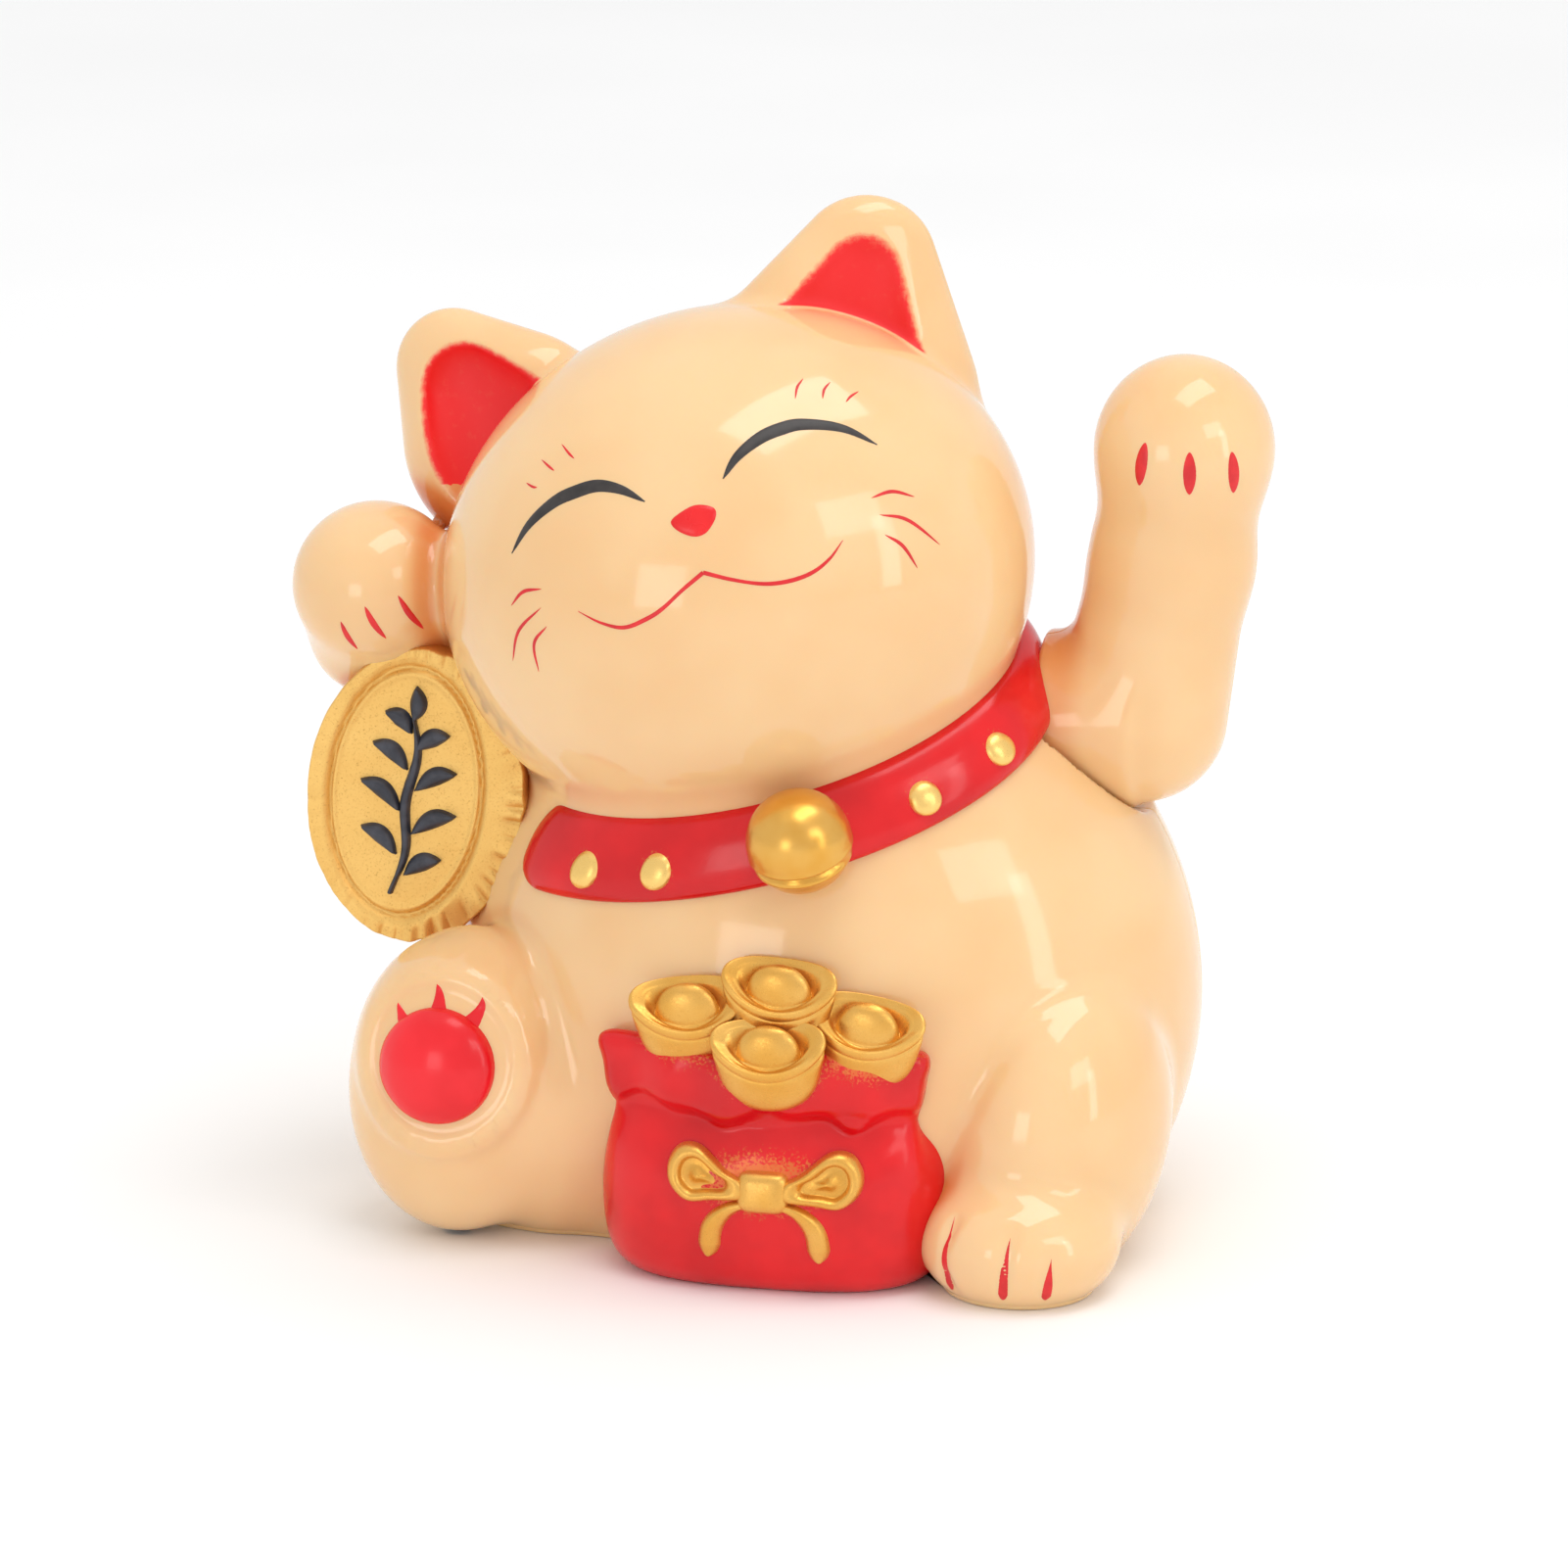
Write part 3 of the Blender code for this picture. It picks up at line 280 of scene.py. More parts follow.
def clay(name, hulls, field, grain, cuts=(), scooped=(), scoops=()):
    """Fuses hulls into one even mesh, then settles its points on the exact surface.
    Scooped hulls lose the scoops before they join the rest; the cuts go through everything."""
    rough = hulls_object(name, hulls)
    if scooped:
        extra = cut_away(hulls_object("scooped", scooped), scoops)
        bm = bmesh.new()
        bm.from_mesh(rough.data)
        bm.from_mesh(extra.data)
        bm.to_mesh(rough.data)
        bm.free()
        bpy.data.objects.remove(extra)
    even(rough, grain)
    baked(rough)
    if cuts:
        cut_away(rough, cuts)
        even(rough, grain)
    soften = rough.modifiers.new("Soften", "SMOOTH")
    soften.iterations = 4
    baked(rough)
    mesh = rough.data
    points = np.empty(len(mesh.vertices) * 3)
    mesh.vertices.foreach_get("co", points)
    mesh.vertices.foreach_set("co", settle(field, points.reshape(-1, 3)).ravel())
    mesh.update()
    mesh.shade_smooth()
    return rough


def disc_hull(near_x, far_x, radius):
    """A short round bar along the arm's axis, as the small balls on its two rims."""
    turns = np.linspace(0, 2 * math.pi, 48, endpoint=False)
    rim = 0.1
    across, up = PARTING_Y + (radius - rim) * np.cos(turns), AXIS_Z + (radius - rim) * np.sin(turns)
    return [((x, y, z), (rim, rim, rim)) for x in (near_x + rim, far_x - rim) for y, z in zip(across, up)]


def groove_and_split(target, names, plane_y, field, depth=0.2, width=0.16):
    """Cuts a mould seam round a shape where two halves meet, and parts it there."""
    bm = bmesh.new()
    bm.from_mesh(target.data)
    for y in (plane_y - width, plane_y, plane_y + width):
        geometry = bm.verts[:] + bm.edges[:] + bm.faces[:]
        bmesh.ops.bisect_plane(bm, geom=geometry, dist=1e-5, plane_co=(0, y, 0), plane_no=(0, 1, 0))
    seam = [vert for vert in bm.verts if abs(vert.co.y - plane_y) < 1e-4]
    places = np.array([vert.co for vert in seam])
    slopes = gradient(field, places)
    slopes /= np.linalg.norm(slopes, axis=1)[:, None] + 1e-9
    for vert, slope in zip(seam, slopes):
        vert.co -= Vector(slope) * depth
    halves = []
    whole = bpy.data.meshes.new("whole")
    bm.to_mesh(whole)
    bm.free()
    for name, side in zip(names, (-1, 1)):
        half = bmesh.new()
        half.from_mesh(whole)
        far = [face for face in half.faces if (face.calc_center_median().y - plane_y) * side < 0]
        bmesh.ops.delete(half, geom=far, context="FACES")
        mesh = bpy.data.meshes.new(name)
        half.to_mesh(mesh)
        half.free()
        halves.append(bpy.data.objects.new(name, mesh))
        bpy.context.scene.collection.objects.link(halves[-1])
        mesh.shade_smooth()
    bpy.data.meshes.remove(whole)
    bpy.data.objects.remove(target)
    return halves


def mesh_points(target):
    points = np.empty(len(target.data.vertices) * 3)
    target.data.vertices.foreach_get("co", points)
    return points.reshape(-1, 3)


def place(target, body, node):
    """Sculpting millimetres to the frame's metres, then onto a body in place of a CAD node."""
    target.data.vertices.foreach_set("co", in_frame(mesh_points(target)).ravel())
    target.data.update()
    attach(target, body)
    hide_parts(node)


def layer(target, name, values):
    """Stores one number for each point, for the material to read."""
    made = target.data.attributes.new(name, "FLOAT", "POINT")
    made.data.foreach_set("value", np.asarray(values, np.float32))


def smooth_step(values, low, high):
    share = np.clip((values - low) / (high - low), 0, 1)
    return share * share * (3 - 2 * share)


def grid_faces(rows, columns, closed=False):
    """Quads of a grid whose rows may close on themselves."""
    faces = []
    for row in range(rows - 1):
        for column in range(columns if closed else columns - 1):
            after = (column + 1) % columns
            faces.append((row * columns + column, row * columns + after,
                          (row + 1) * columns + after, (row + 1) * columns + column))
    return faces


def capped(rows, columns, first=False):
    """Quads of a closed grid with its last row filled, and its first row too where asked."""
    faces = grid_faces(rows, columns, closed=True)
    if first:
        faces.append(tuple(reversed(range(columns))))
    return faces + [tuple(range((rows - 1) * columns, rows * columns))]


def flowing(points, steps, closed=False):
    """A smooth curve through a few points of any dimension."""
    points = np.array(points, float)
    count = len(points)
    spans = count if closed else count - 1
    result = []
    for value in np.linspace(0, spans, steps, endpoint=not closed):
        span = min(int(value), spans - 1)
        t = value - span
        if closed:
            a, b, c, d = (points[(span + k) % count] for k in (-1, 0, 1, 2))
        else:
            b, c = points[span], points[span + 1]
            a = points[span - 1] if span > 0 else 2 * b - c
            d = points[span + 2] if span + 2 < count else 2 * c - b
        result.append(0.5 * (2 * b + (c - a) * t + (2 * a - 5 * b + 4 * c - d) * t * t
                             + (3 * b - a - 3 * c + d) * t ** 3))
    return np.array(result)


# ---------------------------------------------------------------- skins of the two shells
BASE_LOW, BASE_HIGH = (np.array(corner) / MM - np.array(SHIFT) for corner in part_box("base_plate"))
OPENING = (BASE_HIGH - BASE_LOW)[:2] / 2 + 0.3
OPENING_CENTRE = ((BASE_HIGH + BASE_LOW) / 2)[:2]
FLOOR_THICKNESS = 4.5
EDGE = 0.6


# The coin and the bag as plain lumps, which shade the skin behind them.
CLOSE_BALLS = [ball(COIN_CENTRE, (11.9, 3.2, 17.2), (0, 7, 0)), ball((0, BAG_Y, 13), (19, 12.5, 16))]


def around_field(p):
    """The skin together with what stands close in front of it."""
    value = skin_field(p)
    for field in CLOSE_BALLS:
        value = np.minimum(value, np.maximum(field(p), 0.4))
    return value


def crevices(field, points, reaches=(1.5, 4.0, 8.0)):
    """How far each point lies in a crease: 0 in the open, 1 deep inside. The cream material paints warm shade
    by it.
    """
    slope = gradient(field, points)
    slope /= np.linalg.norm(slope, axis=1)[:, None] + 1e-9
    shares = [1 - field(points + slope * far) / far for far in reaches]
    return np.clip(np.mean(shares, axis=0), 0, 1)


def limb_hull(start, end, start_radius, end_radius, flatten=1.0, turn=(0, 0, 0)):
    return [(centre, (radius, radius / flatten, radius), turn)
            for centre, radius in ((start, start_radius), (end, end_radius))]


def body_skins():
    hulls = [[lump] for lump in LUMPS.values()]
    hulls.append(limb_hull(*COIN_ARM))
    hulls += [limb_hull(*part) for part in TAIL]
    skin = clay("skin", hulls, skin_field, FINE, [disc_hull(PORT_X, 80, PORT_RADIUS)],
                [limb_hull(*ear) for ear in EARS], [limb_hull(*hollow) for hollow in HOLLOWS])
    bm = bmesh.new()
    bm.from_mesh(skin.data)
    geometry = bm.verts[:] + bm.edges[:] + bm.faces[:]
    bmesh.ops.bisect_plane(bm, geom=geometry, dist=1e-5, plane_co=(0, 0, EDGE), plane_no=(0, 0, 1),
                           clear_inner=True)
    rim = [edge for edge in bm.edges if edge.is_boundary]
    loop = walk(rim)
    bm.to_mesh(skin.data)
    bm.free()
    halves = groove_and_split(skin, ("skin_front", "skin_rear"), PARTING_Y, skin_field)
    for half, node in zip(halves, ("front_shell", "rear_shell")):
        points = mesh_points(half)
        # Painted shade: how deep each point lies in a crease, for the material to paint warm shade there.
        layer(half, "crevice", crevices(around_field, points))
        hollow = np.min([hollow(points) for hollow in EAR_HOLLOWS], axis=0)
        head = FIELDS["head"](points)
        layer(half, "ear_paint", np.where(points[:, 2] > 80, hollow, 9.0))
        layer(half, "off_head", head)
        place(half, "case", node)
    floor_ring(loop)
    return halves


def walk(edges):
    """The longest closed loop of some edges, as points in order."""
    links = {}
    for edge in edges:
        for vert, other in (edge.verts, reversed(edge.verts)):
            links.setdefault(vert, []).append(other)
    loops = []
    left = set(links)
    while left:
        loop = [left.pop()]
        while True:
            onward = [vert for vert in links[loop[-1]] if vert in left]
            if not onward:
                break
            left.discard(onward[0])
            loop.append(onward[0])
        loops.append(loop)
    return np.array([vert.co for vert in max(loops, key=len)])


def floor_ring(loop):
    """The floor round the base plate: a rounded outer edge, a flat sole and the opening's lip."""
    angles = np.unwrap(np.arctan2(loop[:, 1] - OPENING_CENTRE[1], loop[:, 0] - OPENING_CENTRE[0]))
    if angles[-1] < angles[0]:
        loop, angles = loop[::-1], angles[::-1]
    count = len(loop)
    inner = np.stack([np.cos(angles), np.sin(angles)], -1)
    size = ((np.abs(inner / OPENING) ** 3).sum(-1)) ** (-1 / 3)
    inner = OPENING_CENTRE + inner * size[:, None]
    outward = np.roll(loop[:, :2], -1, axis=0) - np.roll(loop[:, :2], 1, axis=0)
    outward = np.stack([outward[:, 1], -outward[:, 0]], -1)
    outward /= np.linalg.norm(outward, axis=1)[:, None] + 1e-9
    rows = []
    for bend in np.linspace(0, math.pi / 2, 6):
        inset = EDGE * (1 - math.cos(bend))
        height = EDGE * (1 - math.sin(bend))
        rows.append(np.column_stack([loop[:, :2] - outward * inset, np.full(count, height)]))
    edge = rows[-1][:, :2]
    for share in (0.15, 0.4, 0.7, 0.93):
        rows.append(np.column_stack([edge + (inner - edge) * share, np.zeros(count)]))
    rows.append(np.column_stack([inner + (edge - inner) * 0.02, np.full(count, 0.05)]))
    for height in (0.3, FLOOR_THICKNESS):
        rows.append(np.column_stack([inner, np.full(count, height)]))
    points = np.concatenate(rows)
    faces = [face[::-1] for face in grid_faces(len(rows), count, closed=True)]
    ring = new_object("skin_floor", points, faces)
    # Painted shade: a little of the warm crease shade over the whole floor ring.
    layer(ring, "crevice", np.full(len(points), 0.15))
    layer(ring, "ear_paint", np.full(len(points), 9.0))
    layer(ring, "off_head", np.full(len(points), 9.0))


# ---------------------------------------------------------------- the swinging arm
ROOT_INNER_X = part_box("arm_front")[0][0] / MM
ARM_SEAM_Y = 3.0
ARM_LIMBS = (((34.6, 3.2, 56.8), (38.0, 3.0, 74.5), 9.6, 8.4, 1.1),
             ((38.0, 3.0, 74.5), (39.2, 2.2, 86), 8.4, 8.3, 1.03))
ARM_PAW = ((39.3, 1.9, 87.6), (9.2, 8.9, 9.6))
ARM_PARTS = [limb(*part) for part in ARM_LIMBS]
ARM_PAW_FIELD = ball(*ARM_PAW)


def arm_field(p):
    value = fuse(ARM_PARTS[0](p), ARM_PARTS[1](p), 3.0)
    value = fuse(value, ARM_PAW_FIELD(p), 4.0)
    spread = np.hypot(p[..., 1] - PARTING_Y, p[..., 2] - AXIS_Z) - 9.3
    ends = np.abs(p[..., 0] - (ROOT_INNER_X + 34) / 2) - (34 - ROOT_INNER_X) / 2
    root = -fuse(-spread, -ends, 0.8)
    return fuse(value, root, 2.6)


def arm_skins():
    hulls = [limb_hull(*part) for part in ARM_LIMBS] + [[ARM_PAW]]
    hulls.append(disc_hull(ROOT_INNER_X, 34, 9.3))
    arm = clay("arm", hulls, arm_field, FINE * 0.9)
    halves = groove_and_split(arm, ("arm_skin_front", "arm_skin_rear"), ARM_SEAM_Y, arm_field)
    for half, node in zip(halves, ("arm_front", "arm_rear")):
        points = mesh_points(half)
        # Painted shade: besides its creases, the arm's root next to the body gets extra warm shade.
        layer(half, "crevice", crevices(arm_field, points) + 0.6 * smooth_step(-points[:, 0], -33, -26))
        layer(half, "ear_paint", np.full(len(points), 9.0))
        layer(half, "off_head", np.full(len(points), 9.0))
        place(half, "arm", node)
    return halves


# ---------------------------------------------------------------- things painted on the skin
def normals_of(field, points):
    slope = gradient(field, points)
    return slope / (np.linalg.norm(slope, axis=1)[:, None] + 1e-9)


def drape(field):
    """Lays points on a surface and gives its directions there."""
    def lay(points):
        laid = settle(field, np.asarray(points, float), 4)
        return laid, normals_of(field, laid)
    return lay


def on_head(spots):
    """Points of the face from their places in the head's own frame."""
    radii = np.array(LUMPS["head"][1])
    made = []
    for x, z in spots:
        depth = -radii[1] * math.sqrt(max(0.0, 1 - (x / radii[0]) ** 2 - (z / radii[2]) ** 2))
        made.append(HEAD_CENTRE + HEAD_AXES @ np.array((x, depth, z)))
    return made


def brush(slim=0.62, first=0.12, last=0.12):
    """The width of a stroke along its length: widest in the middle."""
    return lambda t: np.maximum(np.clip(np.sin(math.pi * t), 0, 1) ** slim, first * (1 - t) + last * t)


def spike(t):
    return np.maximum(1 - t, 0.03) ** 0.9


def wedge(t):
    """Pointed at its start and widest just before its end."""
    return np.maximum(smooth_step(t, -0.1, 0.75) * np.clip((1 - t) / 0.12, 0, 1) ** 0.5, 0.05)


def comma(t):
    """Narrow at its start and round at its end."""
    rounded = np.sqrt(np.clip(1 - (np.clip(t - 0.84, 0, 1) / 0.165) ** 2, 0.002, 1))
    return (0.4 + 0.6 * smooth_step(t, 0, 0.75)) * rounded


def stroke(name, spots, widest, lay, height=0.07, shape=brush(), body="case", steps=90, across=9):
    """A brush stroke: a thin raised film that follows a surface."""
    path, normals = lay(flowing(spots, steps))
    ahead = np.gradient(path, axis=0)
    side = np.cross(ahead, normals)
    side /= np.linalg.norm(side, axis=1)[:, None] + 1e-9
    t = np.linspace(0, 1, steps)
    swell = shape(t)
    width = widest / 2 * swell
    rows = []
    for s in np.linspace(-1, 1, across):
        laid, up = lay(path + side * (s * width)[:, None])
        raised = height * (1 - abs(s) ** 3) * np.minimum(1, swell * 3 + 0.15)
        rows.append(laid + up * (raised - 0.01)[:, None])
    points = np.stack(rows, 1).reshape(-1, 3)
    return new_object(name, points, [face[::-1] for face in grid_faces(steps, across)], body)


def patch(name, outline, lay, height, body="case", rings=10, dome=2.0, sink=0.02, steps=72):
    """A filled shape: rings from its outline to its middle, swelling upwards."""
    rim = flowing(outline, steps, closed=True)
    middle = rim.mean(0)
    rows = []
    for share in np.linspace(1, 0.02, rings):
        laid, up = lay(middle + (rim - middle) * share)
        rows.append(laid + up * (height * (1 - share ** dome) ** (1 / dome) - sink))
    points = np.concatenate(rows)
    return new_object(name, points, capped(rings, steps), body)


FACE = drape(skin_field)
EYES = {"eye_low": ((-20.1, 12.1), (-17.4, 14.7), (-14.0, 16.5), (-11.5, 17.1), (-8.9, 17.3), (-6.4, 16.5),
                    (-4.1, 14.9)),
        "eye_tall": ((4.5, 15.1), (6.4, 16.7), (9.0, 17.7), (11.3, 17.9), (13.6, 17.6), (17.4, 15.9),
                     (20.4, 13.2))}
MOUTH = (((-14.1, 5.5), (-11.9, 3.9), (-9.6, 3.0), (-7.0, 3.4), (-5.0, 4.1), (-2.4, 5.5), (0.2, 6.7)),
         ((0.2, 6.7), (3.0, 5.2), (6.0, 3.9), (8.6, 3.4), (11.1, 3.5), (13.2, 4.3), (14.9, 5.6)))
NOSE = ((-1.9, 12.4), (-0.6, 13.1), (1.2, 13.4), (2.9, 12.7), (2.9, 11.7), (1.6, 10.5), (0.2, 10.4),
        (-1.3, 11.3))
WHISKERS = (((18.7, 8.6), (20.8, 8.4), (22.8, 7.0)), ((19.1, 6.7), (21.6, 5.1), (24.0, 1.3)),
            ((19.1, 4.6), (20.5, 2.8), (21.3, 0.0)), ((-21.6, 6.9), (-19.8, 8.2), (-17.6, 8.3)),
            ((-23.2, 1.0), (-21.5, 4.2), (-18.2, 6.4)), ((-20.5, -0.4), (-20.1, 2.7), (-18.1, 4.4)))
BROWS = (((-12.1, 21.5), (-11.4, 20.6), (-10.9, 20.1)), ((-14.7, 20.4), (-13.9, 19.7), (-13.4, 19.3)),
         ((-16.9, 18.5), (-16.2, 18.1), (-15.7, 18.0)), ((14.4, 21.4), (13.7, 20.9), (13.3, 20.0)),
         ((17.0, 20.2), (16.3, 19.8), (16.0, 19.1)), ((19.6, 18.4), (18.8, 18.3), (18.2, 18.0)))


def face_marks():
    inked = [stroke(name, on_head(spots), 1.6, FACE, height=0.1)
             for name, spots in EYES.items()]
    ends = ((0.2, 1.0), (1.0, 0.2))
    red = [stroke(f"mouth_{index}", on_head(spots), 0.5, FACE, shape=brush(0.62, *blunt))
           for index, (spots, blunt) in enumerate(zip(MOUTH, ends))]
    red += [stroke(f"whisker_{index}", on_head(spots), 0.42, FACE, steps=40)
            for index, spots in enumerate(WHISKERS)]
    red += [stroke(f"brow_{index}", on_head(spots), 0.3, FACE, steps=24, height=0.05)
            for index, spots in enumerate(BROWS)]
    nose = patch("nose", on_head(NOSE), FACE, 0.3)
    return inked, red, nose


TOES = (((20.9, -31.2, 9.8), (20.6, -32.2, 5.5), (20.5, -31.2, 1.2)),
        ((27.5, -33.7, 9.2), (27.0, -34.6, 5.4), (26.6, -34.0, 1.2)),
        ((31.9, -33.7, 6.6), (31.6, -33.6, 4.2), (31.2, -33.0, 1.2)))
CLAWS = (((-49.9, -16.3, 67.7), (-49.3, -15.7, 65.9), (-48.5, -14.8, 64.4)),
         ((-47.1, -16.6, 69.6), (-46.3, -16.1, 67.7), (-45.2, -15.2, 65.8)),
         ((-43.7, -15.5, 70.7), (-42.8, -14.6, 68.6), (-41.6, -13.0, 66.5)))
ARM_CLAWS = ((36.2, -6.4, 87.2), (41.2, -6.8, 86.5), (45.5, -4.8, 86.3))


def paw_marks():
    made = [stroke(f"toe_{index}", spots, 1.1, FACE, steps=60, shape=wedge)
            for index, spots in enumerate(TOES)]
    made += [stroke(f"claw_{index}", spots, 0.75, FACE, steps=50) for index, spots in enumerate(CLAWS)]
    lay = drape(arm_field)
    for index, (x, y, z) in enumerate(ARM_CLAWS):
        lean = (x - 40.8) * 0.03
        spots = [(x - lean * 2.3, y, z + 2.3), (x, y, z), (x + lean * 2.3, y, z - 2.3)]
        made.append(stroke(f"arm_claw_{index}", spots, 1.45, lay, body="arm", steps=50,
                           shape=brush(0.55, 0.05, 0.05)))
    return made


# ---------------------------------------------------------------- collar, studs and bell
COLLAR_CENTRE = np.array((-1.0, 0.0, 55.8))
COLLAR_AXES = turned((16, -14, 0))
COLLAR_HALF = 3.9
COLLAR_PROUD = 1.5
NECK_RADIUS = 30
COLLAR_ENDS = (math.radians(-151.5), math.radians(160))
STUDS = ((-21.1, -23, 43.5), (-12.5, -25.9, 44.8), (14.9, -20.5, 53.2), (21.2, -13.5, 56.9))
STUD_RADIUS = 1.75
STUD_HEIGHT = 0.95
BELL = np.array((3.6, -29.6, 50.0))
BELL_RADIUS = 5.65


def collar_base(angles, heights):
    """Where the neck's surface lies, going out from the collar's axis."""
    outward = np.cos(angles)[:, None] * COLLAR_AXES[:, 0] + np.sin(angles)[:, None] * COLLAR_AXES[:, 1]
    centres = COLLAR_CENTRE + heights[:, None] * COLLAR_AXES[:, 2]
    far = centres + outward * 60
    found = reach(neck_field, far, -outward)
    return np.linalg.norm(found - centres, axis=1), outward, centres


def collar_surface(angles, shares, proud=COLLAR_PROUD, half=None):
    """Points of the collar: angle about its axis, and share of its width from -1 to 1."""
    angles, shares = np.asarray(angles, float), np.asarray(shares, float)
    half = COLLAR_HALF if half is None else half
    low, outward, centres = collar_base(angles, np.full_like(angles, -1.0) * half)
    high, _, top = collar_base(angles, np.full_like(angles, 1.0) * half)
    mix = (shares + 1) / 2
    span = low * (1 - mix) + high * mix
    swell = np.maximum(0, 1 - np.abs(shares) ** 2.6) ** 0.55
    middle = centres * (1 - mix)[:, None] + top * mix[:, None]
    return middle + outward * (span - 0.25 + (proud + 0.25) * swell)[:, None]


def rounding(along, length):
    """A quarter circle's rise from 0 to 1 over a length."""
    return np.sqrt(np.clip(1 - (1 - np.clip(along / length, 0, 1)) ** 2, 0, 1))


def collar():
    columns, rows = 420, 33
    angles = np.linspace(*COLLAR_ENDS, columns)
    along = np.minimum(angles - angles[0], angles[-1] - angles) * NECK_RADIUS
    half = COLLAR_HALF * (0.12 + 0.88 * rounding(along, 3.4))
    proud = COLLAR_PROUD * rounding(along, 1.4) - 0.2 * (along < 1e-6)
    shares = np.sin(np.linspace(-1, 1, rows) * math.pi / 2)
    lines = [collar_surface(angles, np.full(columns, share), proud, half) for share in shares]
    points = np.stack(lines, 0).reshape(-1, 3)
    made = new_object("collar", points, grid_faces(rows, columns))
    nearest = np.linalg.norm(points - BELL, axis=1) - BELL_RADIUS
    for stud in STUDS:
        nearest = np.minimum(nearest, np.linalg.norm(points - np.array(stud), axis=1) - 1.2)
    layer(made, "gold_near", nearest)
    return made


def collar_place(spot):
    """Angle and height of a point about the collar's axis."""
    local = COLLAR_AXES.T @ (np.array(spot) - COLLAR_CENTRE)
    return math.atan2(local[1], local[0]), local[2], math.hypot(local[0], local[1])


def studs():
    made = []
    rings, around = 14, 40
    for index, spot in enumerate(STUDS):
        angle, height, away = collar_place(spot)
        rows = []
        for share in np.linspace(1.0, 0.03, rings):
            turn = np.linspace(0, 2 * math.pi, around, endpoint=False)
            a = angle + STUD_RADIUS * share * np.cos(turn) / away
            s = np.clip((height + STUD_RADIUS * share * np.sin(turn)) / COLLAR_HALF, -0.97, 0.97)
            base = collar_surface(a, s)
            outward = np.cos(a)[:, None] * COLLAR_AXES[:, 0] + np.sin(a)[:, None] * COLLAR_AXES[:, 1]
            rows.append(base + outward * (STUD_HEIGHT * math.sqrt(1 - share ** 2.2) - 0.04))
        points = np.concatenate(rows)
        made.append(new_object(f"stud_{index}", points, [face[::-1] for face in capped(rings, around)]))
    return made


def bell():
    """A round bell with a curved slot below its middle."""
    columns, rows = 128, 96
    u = np.linspace(0, 2 * math.pi, columns, endpoint=False)
    v = np.linspace(-math.pi / 2 + 0.02, math.pi / 2 - 0.02, rows)
    u, v = np.meshgrid(u, v)
    away = np.stack([np.cos(v) * np.cos(u), np.cos(v) * np.sin(u), np.sin(v)], -1).reshape(-1, 3)
    local = away @ turned((22, -8, 0))
    slot = local[:, 2] + 0.26
    groove = 0.12 * np.exp(-(slot / 0.06) ** 2) * smooth_step(-local[:, 1], 0.35, 0.6)
    lip = 0.02 * np.exp(-((np.abs(slot) - 0.13) / 0.05) ** 2)
    points = BELL + away * (BELL_RADIUS * (1 - groove + lip))[:, None]
    return new_object("bell", points, capped(rows, columns, first=True))


# ---------------------------------------------------------------- coin
COIN_AXES = turned((0, 7, 0))
COIN_HALF = (12.2, 3.0, 16.8)
COIN_INNER = (8.5, 14.2)
COIN_INNER_AT = (-1.1, 0.2)


def strong_side(angle):
    """The coin is beaten hardest on the side near the head."""
    return 0.3 + 0.9 * smooth_step(np.cos(angle), -0.4, 0.6)


def coin_front(x, z):
    """Height of the coin's dished face above its middle plane."""
    inner = np.hypot((x - COIN_INNER_AT[0]) / COIN_INNER[0], (z - COIN_INNER_AT[1]) / COIN_INNER[1])
    outer = np.hypot(x / COIN_HALF[0], z / COIN_HALF[2])
    angle = np.arctan2(z / COIN_HALF[2], x / COIN_HALF[0])
    away = inner - 1
    value = np.full_like(x, COIN_HALF[1] - 0.35)
    value -= 0.6 * np.exp(-(away / 0.018) ** 2)
    value += 0.22 * np.exp(-((away + 0.05) / 0.028) ** 2)
    rim = smooth_step(away, 0.02, 0.10)
    value += rim * 0.42
    beat = 0.5 * np.sin(angle * 13 + 2.1 * np.sin(angle * 3))
    beat += 0.4 * np.sin(angle * 29 + 3.0 * np.sin(angle * 5 + 1))
    chisel = np.abs(np.sin(angle * 19 + 2.2 * np.sin(angle * 3 + 1) + 0.8 * np.sin(angle * 11))) ** 0.45
    beaten = 0.30 * beat * smooth_step(outer, 0.75, 0.97)
    chiselled = 0.55 * (1 - chisel) * smooth_step(outer, 0.8, 0.98)
    return value + rim * strong_side(angle) * (beaten - chiselled)


def coin():
    columns, rows = 420, 70
    angle = np.linspace(0, 2 * math.pi, columns, endpoint=False)
    shares = np.concatenate([np.linspace(0.01, 0.93, rows - 18), np.linspace(0.935, 0.985, 18)])
    uneven = 0.006 * np.sin(angle * 19 + 2 * np.sin(angle * 5)) + 0.008 * np.sin(angle * 7 + 1)
    notch = 1 + uneven * strong_side(angle)
    lines = []
    for share in shares:
        x, z = COIN_HALF[0] * share * np.cos(angle), COIN_HALF[2] * share * np.sin(angle)
        edge = smooth_step(np.full(columns, share), 0.9, 0.985)
        x, z = x * (1 + (notch - 1) * edge), z * (1 + (notch - 1) * edge)
        lines.append(np.stack([x, -coin_front(x, z), z], -1))
    last = lines[-1]
    depth0 = -last[:, 1]
    for bend in np.linspace(0.25, 1, 8):
        grow = 0.985 + 0.015 * math.sin(bend * math.pi / 2)
        drop = 0.7 * (1 - math.cos(bend * math.pi / 2))
        lines.append(np.stack([last[:, 0] * grow / 0.985, -(depth0 - drop), last[:, 2] * grow / 0.985], -1))
    edge_x, edge_z = lines[-1][:, 0], lines[-1][:, 2]
    for back in (-0.5, 0.4, 1.6, 2.3):
        lines.append(np.stack([edge_x, np.full(columns, back), edge_z], -1))
    for share, back in ((0.97, 2.6), (0.9, 2.75), (0.5, 2.75), (0.02, 2.75)):
        lines.append(np.stack([last[:, 0] * share, np.full(columns, back), last[:, 2] * share], -1))
    points = np.concatenate(lines)
    points = COIN_CENTRE + points @ COIN_AXES.T
    return new_object("coin", points, capped(len(lines), columns, first=True))


